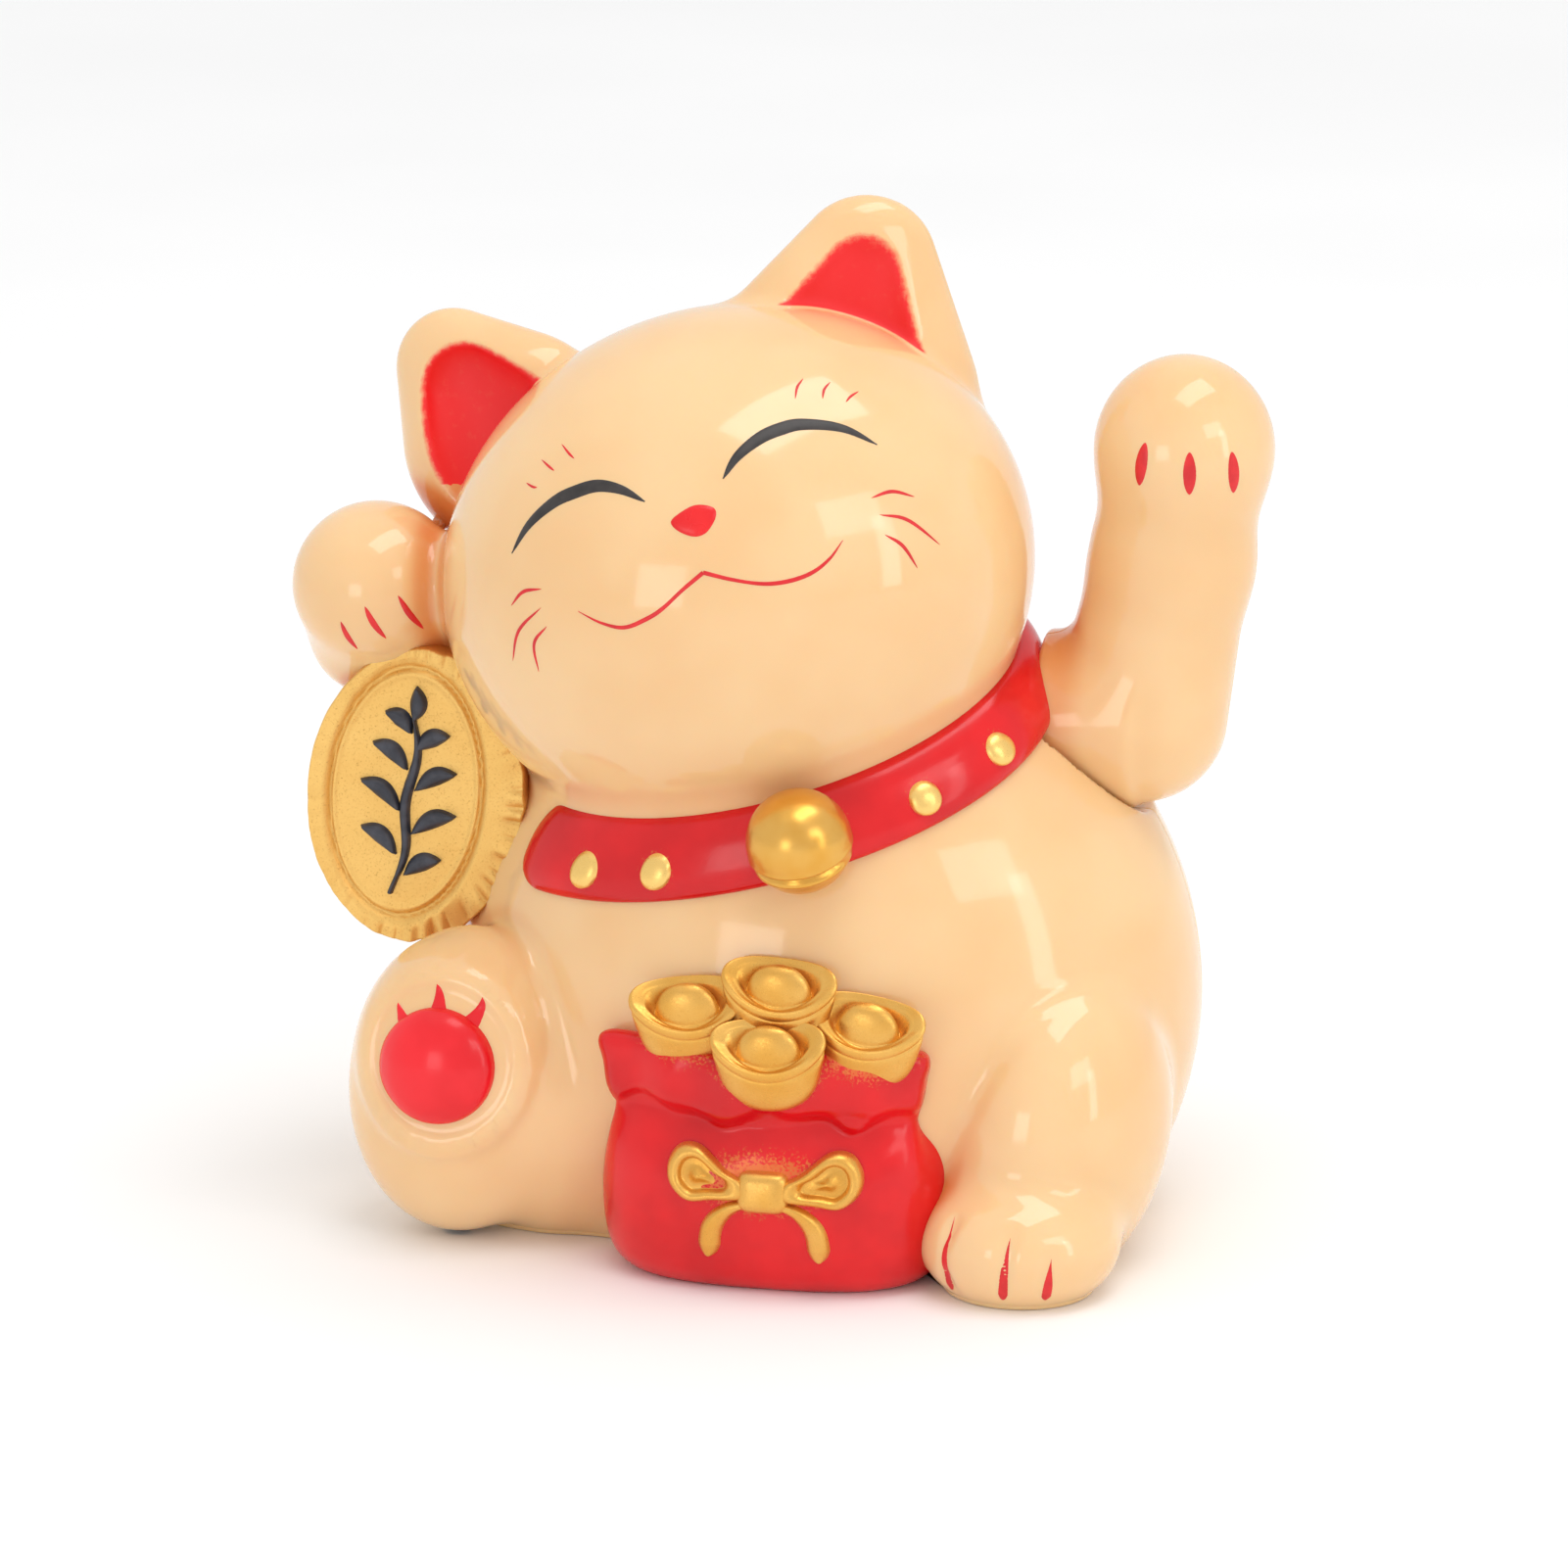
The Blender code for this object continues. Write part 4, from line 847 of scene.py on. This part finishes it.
def on_coin(points):
    """Lays points on the coin's face."""
    local = (np.asarray(points, float) - COIN_CENTRE) @ COIN_AXES
    height = coin_front(local[:, 0], local[:, 2])
    laid = COIN_CENTRE + np.stack([local[:, 0], -height, local[:, 2]], -1) @ COIN_AXES.T
    return laid, np.tile(-COIN_AXES[:, 1], (len(laid), 1))


def coin_points(spots):
    return [COIN_CENTRE + COIN_AXES @ np.array((x, -COIN_HALF[1], z)) for x, z in spots]


def sprig():
    """A raised sprig of leaves on the coin."""
    made = []
    stem = coin_points(((-1.6, -11.5), (-0.4, -6.5), (-1.0, -1.0), (-0.2, 4.5), (-1.0, 9.0)))
    made.append(stroke("sprig_stem", stem, 1.25, on_coin, 0.75, brush(0.62, 0.5, 0.25), across=13))
    leaves = ((-9.2, 1, 5.2), (-7.0, -1, 5.6), (-4.4, 1, 6.2), (-2.0, -1, 6.2), (0.6, 1, 5.8), (2.8, -1, 5.5),
              (5.2, 1, 4.8), (7.0, -1, 4.4))
    for index, (z, side, length) in enumerate(leaves):
        x = -0.7 + 0.25 * math.sin(z)
        spots = [(x + side * 0.5, z), (x + side * length * 0.45, z + length * 0.34),
                 (x + side * length * 0.86, z + length * 0.46)]
        made.append(stroke(f"sprig_leaf_{index}", coin_points(spots), 2.1, on_coin, 0.8,
                           brush(0.8, 0.12, 0.06), steps=50, across=13))
    top = coin_points(((-1.0, 8.4), (-0.7, 10.4), (-1.1, 12.4)))
    made.append(stroke("sprig_tip", top, 2.0, on_coin, 0.8, brush(0.8, 0.2, 0.06), steps=50, across=13))
    return made


# ---------------------------------------------------------------- bag, ingots and bow
BAG_SUNK = 1.2        # how far the bag's back goes into the belly
# The bag's outline going up: height, half width, half depth and how wavy it is there.
BAG_ROWS = np.array(((0.0, 15.6, 9.2, 0), (0.8, 17.0, 10.4, 0), (2.6, 18.3, 11.7, 0), (6, 19.0, 12.6, 0),
                     (11, 19.1, 12.9, 0.05), (15.5, 18.6, 12.3, 0.35), (18.6, 17.8, 11.3, 0.8),
                     (19.8, 17.8, 11.3, 1.0), (21.5, 18.4, 12.0, 0.9), (24, 18.8, 12.0, 0.85),
                     (26.0, 19.3, 11.7, 1.0), (27.0, 18.9, 11.0, 1.0), (27.2, 17.6, 9.8, 0.9),
                     (26.2, 15.8, 8.4, 0.6), (24.5, 14.5, 7.4, 0.3), (24.2, 2.0, 1.5, 0.0)))
BAG_CORNERS = 0.72    # less than 1 squares the bag's plan


def bag_points(angles, rows):
    z, half_x, half_y, wave = np.array(rows).T
    ripple = 1 + 0.040 * wave * (np.sin(7 * angles + 0.6) + 0.45 * np.sin(12 * angles + 2))
    c, s = np.cos(angles), np.sin(angles)
    x = half_x * ripple * np.sign(c) * np.abs(c) ** BAG_CORNERS
    y = half_y * ripple * np.sign(s) * np.abs(s) ** BAG_CORNERS
    lift = (0.65 * np.sin(5 * angles + 0.4) + 0.3 * np.sin(9 * angles)) * wave * smooth_step(z, 15, 24)
    return np.stack([x, BAG_Y + y, z + lift], -1)


def bag():
    columns, rows = 300, 130
    sections = flowing(BAG_ROWS, rows)
    angles = np.linspace(0, 2 * math.pi, columns, endpoint=False)
    lines = [bag_points(angles, np.tile(section, (columns, 1))) for section in sections]
    front = np.concatenate(lines)
    wave = 1.0 * np.sin(front[:, 0] * 0.42 + 0.7) + 0.45 * np.sin(front[:, 0] * 0.93 + 1.5)
    below = front[:, 2] - 19.4 - wave
    fold = np.where(below < 0, np.exp(-(below / 2.6) ** 2), np.exp(-(below / 0.9) ** 2))
    drop = 0.35 * np.sin(front[:, 0] * 0.85 + 0.4) * np.exp(-((front[:, 2] - 23.5) / 3.0) ** 2)
    front[:, 1] += (1.0 * fold + drop) * smooth_step(BAG_Y - front[:, 1], 0.0, 6.0)
    below_mouth = np.column_stack([front[:, 0], np.full(len(front), -60.0), np.maximum(front[:, 2], 1.0)])
    belly = reach(skin_field, below_mouth, np.array((0.0, 1.0, 0.0)))
    front[:, 1] = np.minimum(front[:, 1], np.maximum(belly[:, 1] + BAG_SUNK, -34.0))
    made = new_object("bag", front, capped(rows, columns, first=True))
    near = np.full(len(front), 9.0)
    for place_of in INGOTS:
        away = (front[:, (0, 2)] - np.array((place_of[0], place_of[1]))) / np.array((6.4, 4.6))
        near = np.minimum(near, (np.linalg.norm(away, axis=1) - 1) * 4.5 + 0.3)
    bow_middle = np.array(BOW_PLACE) + np.array((0.0, 0.0, 0.8))
    bow_away = (front - bow_middle) / np.array((12.2, 6.0, 5.6))
    near = np.minimum(near, (np.linalg.norm(bow_away, axis=1) - 1) * 5 + 2.4)
    layer(made, "gold_near", near)
    return made


# Where each ingot's middle is in X and Z, how far it stands out from the belly, and its turns.
INGOTS = ((1.8, 33.0, 1.9, 3, 0), (-8.1, 30.3, 2.3, -7, 10),
          (11.3, 29.3, 2.3, 8, -8), (1.3, 27.0, 4.1, -2, 2))
BOW_PLACE = (0.8, -34.6, 12.4)


# From the hull's bottom over the double rim to the dome's top: share of the radius, and height.
INGOT_PROFILE = ((0.02, -5.3), (0.35, -5.1), (0.62, -4.2), (0.82, -2.6), (0.93, -1.0), (0.965, -0.2),
                 (0.94, 0.1), (0.975, 0.4), (1.0, 0.8), (0.985, 1.15), (0.94, 1.3), (0.86, 1.15),
                 (0.78, 0.95), (0.66, 0.8), (0.575, 0.9), (0.545, 1.6), (0.49, 2.6), (0.38, 3.5),
                 (0.22, 4.1), (0.02, 4.3))


def ingot(index, x, z, proud, lean, twist):
    """A boat-shaped ingot in relief: a round hull, a double rim that climbs to its ends, and a dome."""
    rows, columns = 90, 120
    lines = flowing(INGOT_PROFILE, rows)
    angle = np.linspace(0, 2 * math.pi, columns, endpoint=False)
    tilt = turned((20, lean, twist))
    belly = reach(skin_field, [(x, -60.0, z)], [(0.0, 1.0, 0.0)])[0]
    points = []
    for share, height in lines:
        rim = float(smooth_step(height, -3.5, 0.6)) if share > 0.6 or height < 1.0 else 0.0
        rim *= float(smooth_step(share, 0.5, 0.75))
        behind = np.clip(np.sin(angle) + 0.15, 0, 1.15) ** 1.3 / 1.2
        x_out, y_out = 6.3 * share * np.cos(angle), 5.0 * share * np.sin(angle)
        climb = rim * (1.6 * np.cos(angle) ** 2 + 1.5 * behind)
        points.append(np.stack([x_out, y_out, height * 0.93 + climb], -1))
    points = np.concatenate(points) @ tilt.T * np.array((1.0, 0.45, 1.06))
    points = points + np.array((x, belly[1] - proud, z - 0.4))
    return new_object(f"ingot_{index}", points, capped(rows, columns, first=True))


def on_bag(points):
    """Lays points on the bag's front."""
    points = np.asarray(points, float)
    x, z = points[:, 0], points[:, 2]
    heights, half_x, half_y, _ = BAG_ROWS[:11].T
    hx, hy = np.interp(z, heights, half_x), np.interp(z, heights, half_y)
    c = np.clip(np.abs(x) / hx, 0, 0.999) ** (1 / BAG_CORNERS)
    y = BAG_Y - hy * np.sqrt(1 - c ** 2) ** BAG_CORNERS
    laid = np.stack([x, y, z], -1)
    return laid, np.tile((0.0, -1.0, 0.0), (len(points), 1))


def relief(name, outline, ridge, height=1.15):
    """A raised loop of ribbon: a rounded rim, a hollow inside it and a small ridge in the hollow."""
    steps, rings = 96, 34
    rim = flowing(outline, steps, closed=True)
    middle = np.array(ridge)
    rows = []
    for share in np.linspace(1, 0.02, rings):
        laid, up = on_bag(middle + (rim - middle) * share)
        swell = height * math.sqrt(max(0.0, 1 - ((share - 0.77) / 0.23) ** 2))
        inner = 0.12 * height + 0.5 * height * math.exp(-(share / 0.22) ** 2)
        rows.append(laid + up * (max(swell, inner if share < 0.8 else 0) - 0.03))
    points = np.concatenate(rows)
    return new_object(name, points, [face[::-1] for face in capped(rings, steps)])


def bow():
    x, _, z = BOW_PLACE
    made = []

    def spot(side, a, b):
        return x + side * a, 0.0, z + b

    for side, name in ((-1, "low"), (1, "high")):
        outline = [spot(side, *at) for at in ((1.9, 0.8), (4.2, 2.2), (7.0, 4.4), (9.3, 4.3), (10.6, 2.4),
                                               (10.4, 0.1), (8.4, -1.6), (5.5, -1.3), (1.9, -0.9))]
        made.append(relief(f"bow_loop_{name}", outline[::-side], spot(side, 7.2, 1.2)))
        tail = [spot(side, *at) for at in ((1.2, -1.3), (3.8, -2.3), (5.6, -4.4), (6.1, -7.8))]
        made.append(stroke(f"bow_tail_{name}", tail, 2.5, on_bag, 0.85, comma, across=15))
    rows, columns = 26, 64
    angle = np.linspace(0, 2 * math.pi, columns, endpoint=False)
    lines = []
    for share in np.linspace(1, 0.02, rows):
        c, s = np.cos(angle), np.sin(angle)
        a = 2.85 * share * np.sign(c) * np.abs(c) ** 0.45
        b = 2.35 * share * np.sign(s) * np.abs(s) ** 0.45
        laid, up = on_bag(np.stack([x + a, np.zeros(columns), z - 0.1 + b], -1))
        lines.append(laid + up * (1.45 * (1 - share ** 5) ** 0.5 * (1 - 0.12 * share ** 2) - 0.03))
    points = np.concatenate(lines)
    made.append(new_object("bow_knot", points, [face[::-1] for face in capped(rows, columns)]))
    return made


# ---------------------------------------------------------------- pad under the raised foot
PAD = np.array((-36.6, -29.5, 22.3))


def pad():
    lay = drape(skin_field)
    turn = np.linspace(0, 2 * math.pi, 24, endpoint=False)
    outline = [PAD + np.array((6.7 * math.cos(a), 0.0, 6.5 * math.sin(a))) for a in turn]
    made = [patch("pad", outline, lay, 2.2, rings=26, dome=2.0)]
    spikes = (((-40.6, 26.4), (-41.2, 27.4), (-42.1, 28.9)), ((-36.6, 28.2), (-36.7, 29.6), (-37.2, 31.4)),
              ((-32.9, 26.9), (-32.0, 28.4), (-31.4, 30.4)))
    for index, spots in enumerate(spikes):
        points = [(x, PAD[1], z) for x, z in spots]
        made.append(stroke(f"pad_claw_{index}", points, 2.2, lay, 0.15, spike, steps=40))
    return made


# ---------------------------------------------------------------- materials
class Paint:
    """A material's node tree, with short ways to add to it."""

    def __init__(self, name):
        self.material = bpy.data.materials.new(name)
        self.material.use_nodes = True
        self.nodes = self.material.node_tree.nodes
        self.links = self.material.node_tree.links
        self.surface = self.nodes["Principled BSDF"]
        self.place = self.nodes.new("ShaderNodeTexCoord").outputs["Object"]

    def set(self, **values):
        for key, value in values.items():
            self.surface.inputs[key.replace("_", " ")].default_value = value

    def link(self, source, target):
        self.links.new(source, target)

    def noise(self, scale, detail=3.0, roughness=0.5, stretch=None):
        node = self.nodes.new("ShaderNodeTexNoise")
        node.inputs["Scale"].default_value = scale
        node.inputs["Detail"].default_value = detail
        node.inputs["Roughness"].default_value = roughness
        place = self.place
        if stretch:
            mapping = self.nodes.new("ShaderNodeMapping")
            mapping.inputs["Scale"].default_value = stretch
            self.link(self.place, mapping.inputs["Vector"])
            place = mapping.outputs["Vector"]
        self.link(place, node.inputs["Vector"])
        return node.outputs["Fac"]

    def attribute(self, name):
        node = self.nodes.new("ShaderNodeAttribute")
        node.attribute_name = name
        return node.outputs["Fac"]

    def span(self, value, low, high, start=0.0, end=1.0):
        node = self.nodes.new("ShaderNodeMapRange")
        node.interpolation_type = "SMOOTHSTEP"
        for key, number in (("From Min", low), ("From Max", high), ("To Min", start), ("To Max", end)):
            node.inputs[key].default_value = number
        self.link(value, node.inputs["Value"])
        return node.outputs["Result"]

    def math(self, operation, first, second):
        node = self.nodes.new("ShaderNodeMath")
        node.operation = operation
        for socket, value in zip(node.inputs, (first, second)):
            if isinstance(value, (int, float)):
                socket.default_value = value
            else:
                self.link(value, socket)
        return node.outputs["Value"]

    def mix(self, share, first, second):
        node = self.nodes.new("ShaderNodeMix")
        node.data_type = "RGBA"
        self.link(share, node.inputs[0])
        for socket, value in ((node.inputs[6], first), (node.inputs[7], second)):
            if isinstance(value, tuple):
                socket.default_value = value
            else:
                self.link(value, socket)
        return node.outputs[2]

    def bump(self, height, depth, strength=1.0):
        node = self.nodes.new("ShaderNodeBump")
        node.inputs["Strength"].default_value = strength
        node.inputs["Distance"].default_value = depth * MM
        self.link(height, node.inputs["Height"])
        self.link(node.outputs["Normal"], self.surface.inputs["Normal"])

    def colour(self, source):
        self.link(source, self.surface.inputs["Base Color"])

    def rough(self, source):
        self.link(source, self.surface.inputs["Roughness"])


def tint(red, green, blue):
    """A display colour, 0 to 255, as the linear colour that shaders use."""
    def linear(value):
        value /= 255
        return value / 12.92 if value <= 0.04045 else ((value + 0.055) / 1.055) ** 2.4
    return (linear(red), linear(green), linear(blue), 1.0)


CREAM = tint(236, 191, 136)
# Painted shade: the darker warm orange that the cream turns to deep in creases.
CREAM_CREASE_SHADE = tint(222, 130, 60)
CREAM_PALE = tint(239, 200, 148)
RED = tint(226, 20, 26)
RED_DEEP = tint(206, 12, 20)
GOLD = tint(224, 166, 74)
GOLD_PALE = tint(246, 206, 126)
GOLD_DEEP = tint(160, 104, 34)


def cream_paint():
    """Glossy cream plastic with a warm orange shade painted into its creases, with red sprayed into the ears.
    """
    paint = Paint("visual_cream")
    cloud = paint.noise(60, 2)
    # Painted shade: deep in creases the cream turns darker and warm orange, standing in for light bounced
    # between parts and shining through the plastic there.
    crease_shade = paint.span(paint.attribute("crevice"), 0.2, 0.85, 0.0, 0.9)
    crease_shade = paint.math("MULTIPLY", crease_shade, paint.span(cloud, 0.2, 0.8, 0.85, 1.0))
    base = paint.mix(paint.span(cloud, 0.3, 0.7, 0.0, 1.0), CREAM, CREAM_PALE)
    base = paint.mix(crease_shade, base, CREAM_CREASE_SHADE)
    speck = paint.noise(900, 4, 0.7)
    edge = paint.math("ADD", paint.attribute("ear_paint"), paint.span(speck, 0.3, 0.7, -0.12, 0.12))
    sprayed = paint.span(edge, 0.05, 0.75, 1.0, 0.0)
    inside = paint.span(paint.attribute("off_head"), 0.18, 0.34)
    red = paint.math("MULTIPLY", sprayed, inside)
    paint.colour(paint.mix(red, base, tint(236, 22, 26)))
    paint.set(Subsurface_Weight=0.22, Subsurface_Radius=(1.0, 0.42, 0.16), Subsurface_Scale=2.2 * MM, IOR=1.5)
    gloss = paint.span(paint.noise(140, 3), 0.3, 0.7, 0.09, 0.13)
    paint.rough(paint.math("ADD", gloss, paint.math("MULTIPLY", red, 0.4)))
    paint.set(Coat_Roughness=0.03)
    paint.link(paint.span(red, 0.0, 1.0, 0.3, 0.0), paint.surface.inputs["Coat Weight"])
    paint.bump(paint.noise(420, 2), 0.012, 0.5)
    return paint.material


def red_paint(name, light=RED, deep=RED_DEEP, gold=False, roughness=0.2):
    paint = Paint(name)
    cloud = paint.noise(110, 3)
    base = paint.mix(paint.span(cloud, 0.3, 0.7), deep, light)
    level = paint.span(paint.noise(300, 3), 0.3, 0.7, roughness - 0.04, roughness + 0.05)
    if gold:
        speck = paint.noise(3200, 3, 0.6)
        reach_out = paint.math("ADD", paint.attribute("gold_near"), paint.span(speck, 0.2, 0.8, -1.5, 1.5))
        dusted = paint.span(reach_out, -1.0, 0.4, 0.4, 0.0)
        base = paint.mix(dusted, base, GOLD)
        paint.link(paint.math("MULTIPLY", dusted, 0.7), paint.surface.inputs["Metallic"])
        level = paint.math("ADD", level, paint.math("MULTIPLY", dusted, 0.15))
    paint.colour(base)
    paint.rough(level)
    paint.set(Coat_Weight=0.12, Coat_Roughness=0.05, Specular_IOR_Level=0.36)
    paint.set(Subsurface_Weight=0.05, Subsurface_Radius=(1.0, 0.2, 0.1), Subsurface_Scale=1.0 * MM)
    paint.bump(paint.noise(380, 3), 0.02, 0.5)
    return paint.material


def gold_paint(name, grain=1.0, roughness=0.34, colour=GOLD):
    """Metallic gold paint with a fine grain."""
    paint = Paint(name)
    fine = paint.noise(4200, 4, 0.65)
    cloud = paint.noise(160, 3)
    base = paint.mix(paint.span(cloud, 0.3, 0.7, 0.0, 0.35), colour, GOLD_PALE)
    paint.colour(paint.mix(paint.span(fine, 0.55, 0.8, 0.0, min(0.3 * grain, 0.7)), base, GOLD_DEEP))
    paint.set(Metallic=0.82)
    spread = min(grain, 1.0)
    paint.rough(paint.span(fine, 0.3, 0.7, roughness - 0.06 * spread, roughness + 0.1 * spread))
    paint.bump(fine, 0.02 * grain, 0.7)
    return paint.material


def ink(name, light, deep, roughness):
    paint = Paint(name)
    cloud = paint.noise(500, 4)
    paint.colour(paint.mix(paint.span(cloud, 0.3, 0.7), deep, light))
    paint.rough(paint.span(cloud, 0.3, 0.7, roughness - 0.05, roughness + 0.06))
    paint.bump(cloud, 0.01, 0.5)
    return paint.material


def plain(name, light, deep, roughness, metallic=0.0, scale=260, stretch=None, depth=0.02):
    """Any inner or underside finish: a little uneven in colour, gloss and height."""
    paint = Paint(name)
    cloud = paint.noise(scale, 4, 0.6, stretch)
    paint.colour(paint.mix(paint.span(cloud, 0.3, 0.7), deep, light))
    paint.rough(paint.span(cloud, 0.25, 0.75, roughness * 0.8, roughness * 1.2))
    paint.set(Metallic=metallic)
    paint.bump(cloud, depth, 0.6)
    return paint.material


def cell_paint():
    """The cell's printed can: a dark sleeve with a copper-coloured end."""
    paint = Paint("visual_cell")
    split = paint.nodes.new("ShaderNodeSeparateXYZ")
    paint.link(paint.place, split.inputs["Vector"])
    low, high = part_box("battery_cell")
    edge = low[0] + (high[0] - low[0]) * 0.72
    band = paint.span(split.outputs["X"], edge - 0.0001, edge + 0.0001)
    paint.colour(paint.mix(band, tint(40, 42, 46), tint(196, 120, 62)))
    cloud = paint.noise(300, 4)
    paint.rough(paint.span(cloud, 0.3, 0.7, 0.22, 0.34))
    paint.set(Metallic=0.6)
    return paint.material


# A CAD material, its finish, the finish's light and deep colours, its roughness and, where it isn't
# a dull plastic: how metallic it is, how fine its grain, how stretched and how deep.
FINISHES = (
    ("base_plastic", "base", (246, 205, 150), (238, 190, 132), 0.38),
    ("cream_plastic", "inner_cream", (250, 211, 156), (243, 196, 140), 0.35),
    ("spring_steel", "spring", (206, 206, 210), (150, 150, 156), 0.28, 1.0, 900),
    ("board", "board", (60, 120, 62), (36, 88, 44), 0.45, 0.0, 700),
    ("bobbin", "bobbin", (228, 226, 218), (206, 203, 192), 0.5),
    ("copper_wire", "winding", (196, 104, 52), (128, 58, 26), 0.32, 0.9, 300, (1, 1, 40), 0.06),
    ("component_black", "component", (34, 34, 36), (18, 18, 20), 0.5),
    ("capacitor_can", "capacitor", (52, 66, 110), (30, 40, 78), 0.35),
    ("screw_steel", "screw", (182, 182, 188), (120, 120, 126), 0.3, 1.0, 1200),
    ("lead_red", "lead_red", (208, 28, 24), (168, 16, 16), 0.45),
    ("lead_black", "lead_black", (30, 30, 32), (14, 14, 16), 0.45),
    ("slider_white", "slider", (240, 238, 232), (222, 219, 210), 0.4),
    ("bush_brass", "brass", (214, 170, 92), (168, 124, 58), 0.3, 1.0, 900),
    ("lever_plastic", "lever", (232, 230, 224), (208, 205, 197), 0.45),
    ("magnet_nickel", "magnet", (200, 198, 194), (150, 148, 146), 0.22, 1.0, 600),
)


def repaint_nodes():
    finishes = {"cell_can": cell_paint()}
    for key, name, light, deep, *finish in FINISHES:
        finishes[key] = plain(f"visual_{name}", tint(*light), tint(*deep), *finish)
    for node in frame["nodes"].values():
        for slot in node.material_slots:
            known = [key for key in finishes if slot.material and key in slot.material.name]
            slot.material = finishes[known[0] if known else "base_plastic"]


def dress(pieces, material):
    for piece in pieces:
        piece.data.materials.clear()
        piece.data.materials.append(material)


# ---------------------------------------------------------------- stage
def stage():
    mesh = bpy.data.meshes.new("floor")
    bm = bmesh.new()
    bmesh.ops.create_grid(bm, x_segments=1, y_segments=1, size=3.0)
    bm.to_mesh(mesh)
    bm.free()
    floor = bpy.data.objects.new("floor", mesh)
    bpy.context.scene.collection.objects.link(floor)
    paint = Paint("floor_white")
    cloud = paint.noise(8, 2)
    paint.colour(paint.mix(paint.span(cloud, 0.3, 0.7), (0.93, 0.93, 0.93, 1), (0.95, 0.95, 0.95, 1)))
    paint.rough(paint.span(cloud, 0.3, 0.7, 0.75, 0.8))
    paint.set(Specular_IOR_Level=0.15)
    mesh.materials.append(paint.material)


def lamp(name, place, aim, size, power, colour=(1, 1, 1)):
    data = bpy.data.lights.new(name, "AREA")
    data.shape = "RECTANGLE"
    data.size, data.size_y = size
    data.energy = power
    data.color = colour
    made = bpy.data.objects.new(name, data)
    made.location = place
    made.rotation_euler = (Vector(place) - Vector(aim)).to_track_quat("Z", "Y").to_euler()
    bpy.context.scene.collection.objects.link(made)
    return made


def studio():
    aim = (0, 0.01, 0.06)
    lamp("window", (0.20, -0.10, 0.98), aim, (0.75, 0.36), 2.5)
    lamp("side", (0.62, -0.50, 0.50), aim, (0.36, 0.24), 0.6)
    lamp("strip", (0.78, -0.40, 0.25), aim, (0.12, 0.44), 0.42)
    lamp("front", (-0.29, -0.94, 0.15), aim, (0.28, 0.28), 0.55)
    lamp("ceiling", (0.0, 0.0, 2.4), aim, (3.0, 3.0), 5.0)
    world = bpy.data.worlds.new("studio")
    world.use_nodes = True
    background = world.node_tree.nodes["Background"]
    background.inputs["Color"].default_value = (1, 1, 1, 1)
    background.inputs["Strength"].default_value = 0.86
    bpy.context.scene.world = world
    bpy.context.scene.view_settings.view_transform = "Standard"


def camera():
    data = bpy.data.cameras.new("camera")
    data.sensor_width = 36
    data.lens = 167.3
    made = bpy.data.objects.new("camera", data)
    target = Vector(in_frame((-4.1, -1.0, 47.8)))
    around, up = math.radians(12), math.radians(16)
    away = Vector((math.sin(around) * math.cos(up), -math.cos(around) * math.cos(up), math.sin(up)))
    made.location = target + away * 0.8
    made.rotation_euler = away.to_track_quat("Z", "Y").to_euler()
    bpy.context.scene.collection.objects.link(made)
    bpy.context.scene.camera = made


# ---------------------------------------------------------------- the cat
cream = cream_paint()
dress(body_skins(), cream)
dress([bpy.data.objects["skin_floor"]], cream)
dress(arm_skins(), cream)
inked, red_marks, nose = face_marks()
dress(inked, ink("visual_ink", tint(58, 52, 50), tint(38, 34, 33), 0.42))
mark_red = ink("visual_mark_red", tint(226, 34, 38), tint(206, 22, 30), 0.35)
dress(red_marks + paw_marks(), mark_red)
dress([nose], red_paint("visual_nose", tint(236, 34, 36), tint(222, 22, 28), roughness=0.3))
dress([collar()], red_paint("visual_collar", gold=True, roughness=0.18))
dress(studs(), gold_paint("visual_stud", 0.6, 0.3, tint(246, 205, 120)))
dress([bell()], gold_paint("visual_bell", 0.12, 0.26, tint(220, 160, 62)))
dress([coin()], gold_paint("visual_coin", 3.0, 0.46, tint(236, 190, 108)))
dress(sprig(), ink("visual_sprig", tint(64, 66, 76), tint(38, 40, 50), 0.45))
dress([bag()], red_paint("visual_bag", gold=True, roughness=0.22))
satin = gold_paint("visual_satin", 1.0, 0.32)
dress([ingot(index, *values) for index, values in enumerate(INGOTS)], satin)
dress(bow(), satin)
dress(pad(), red_paint("visual_pad", tint(240, 34, 44), tint(224, 22, 32), roughness=0.2))
repaint_nodes()
stage()
studio()
camera()
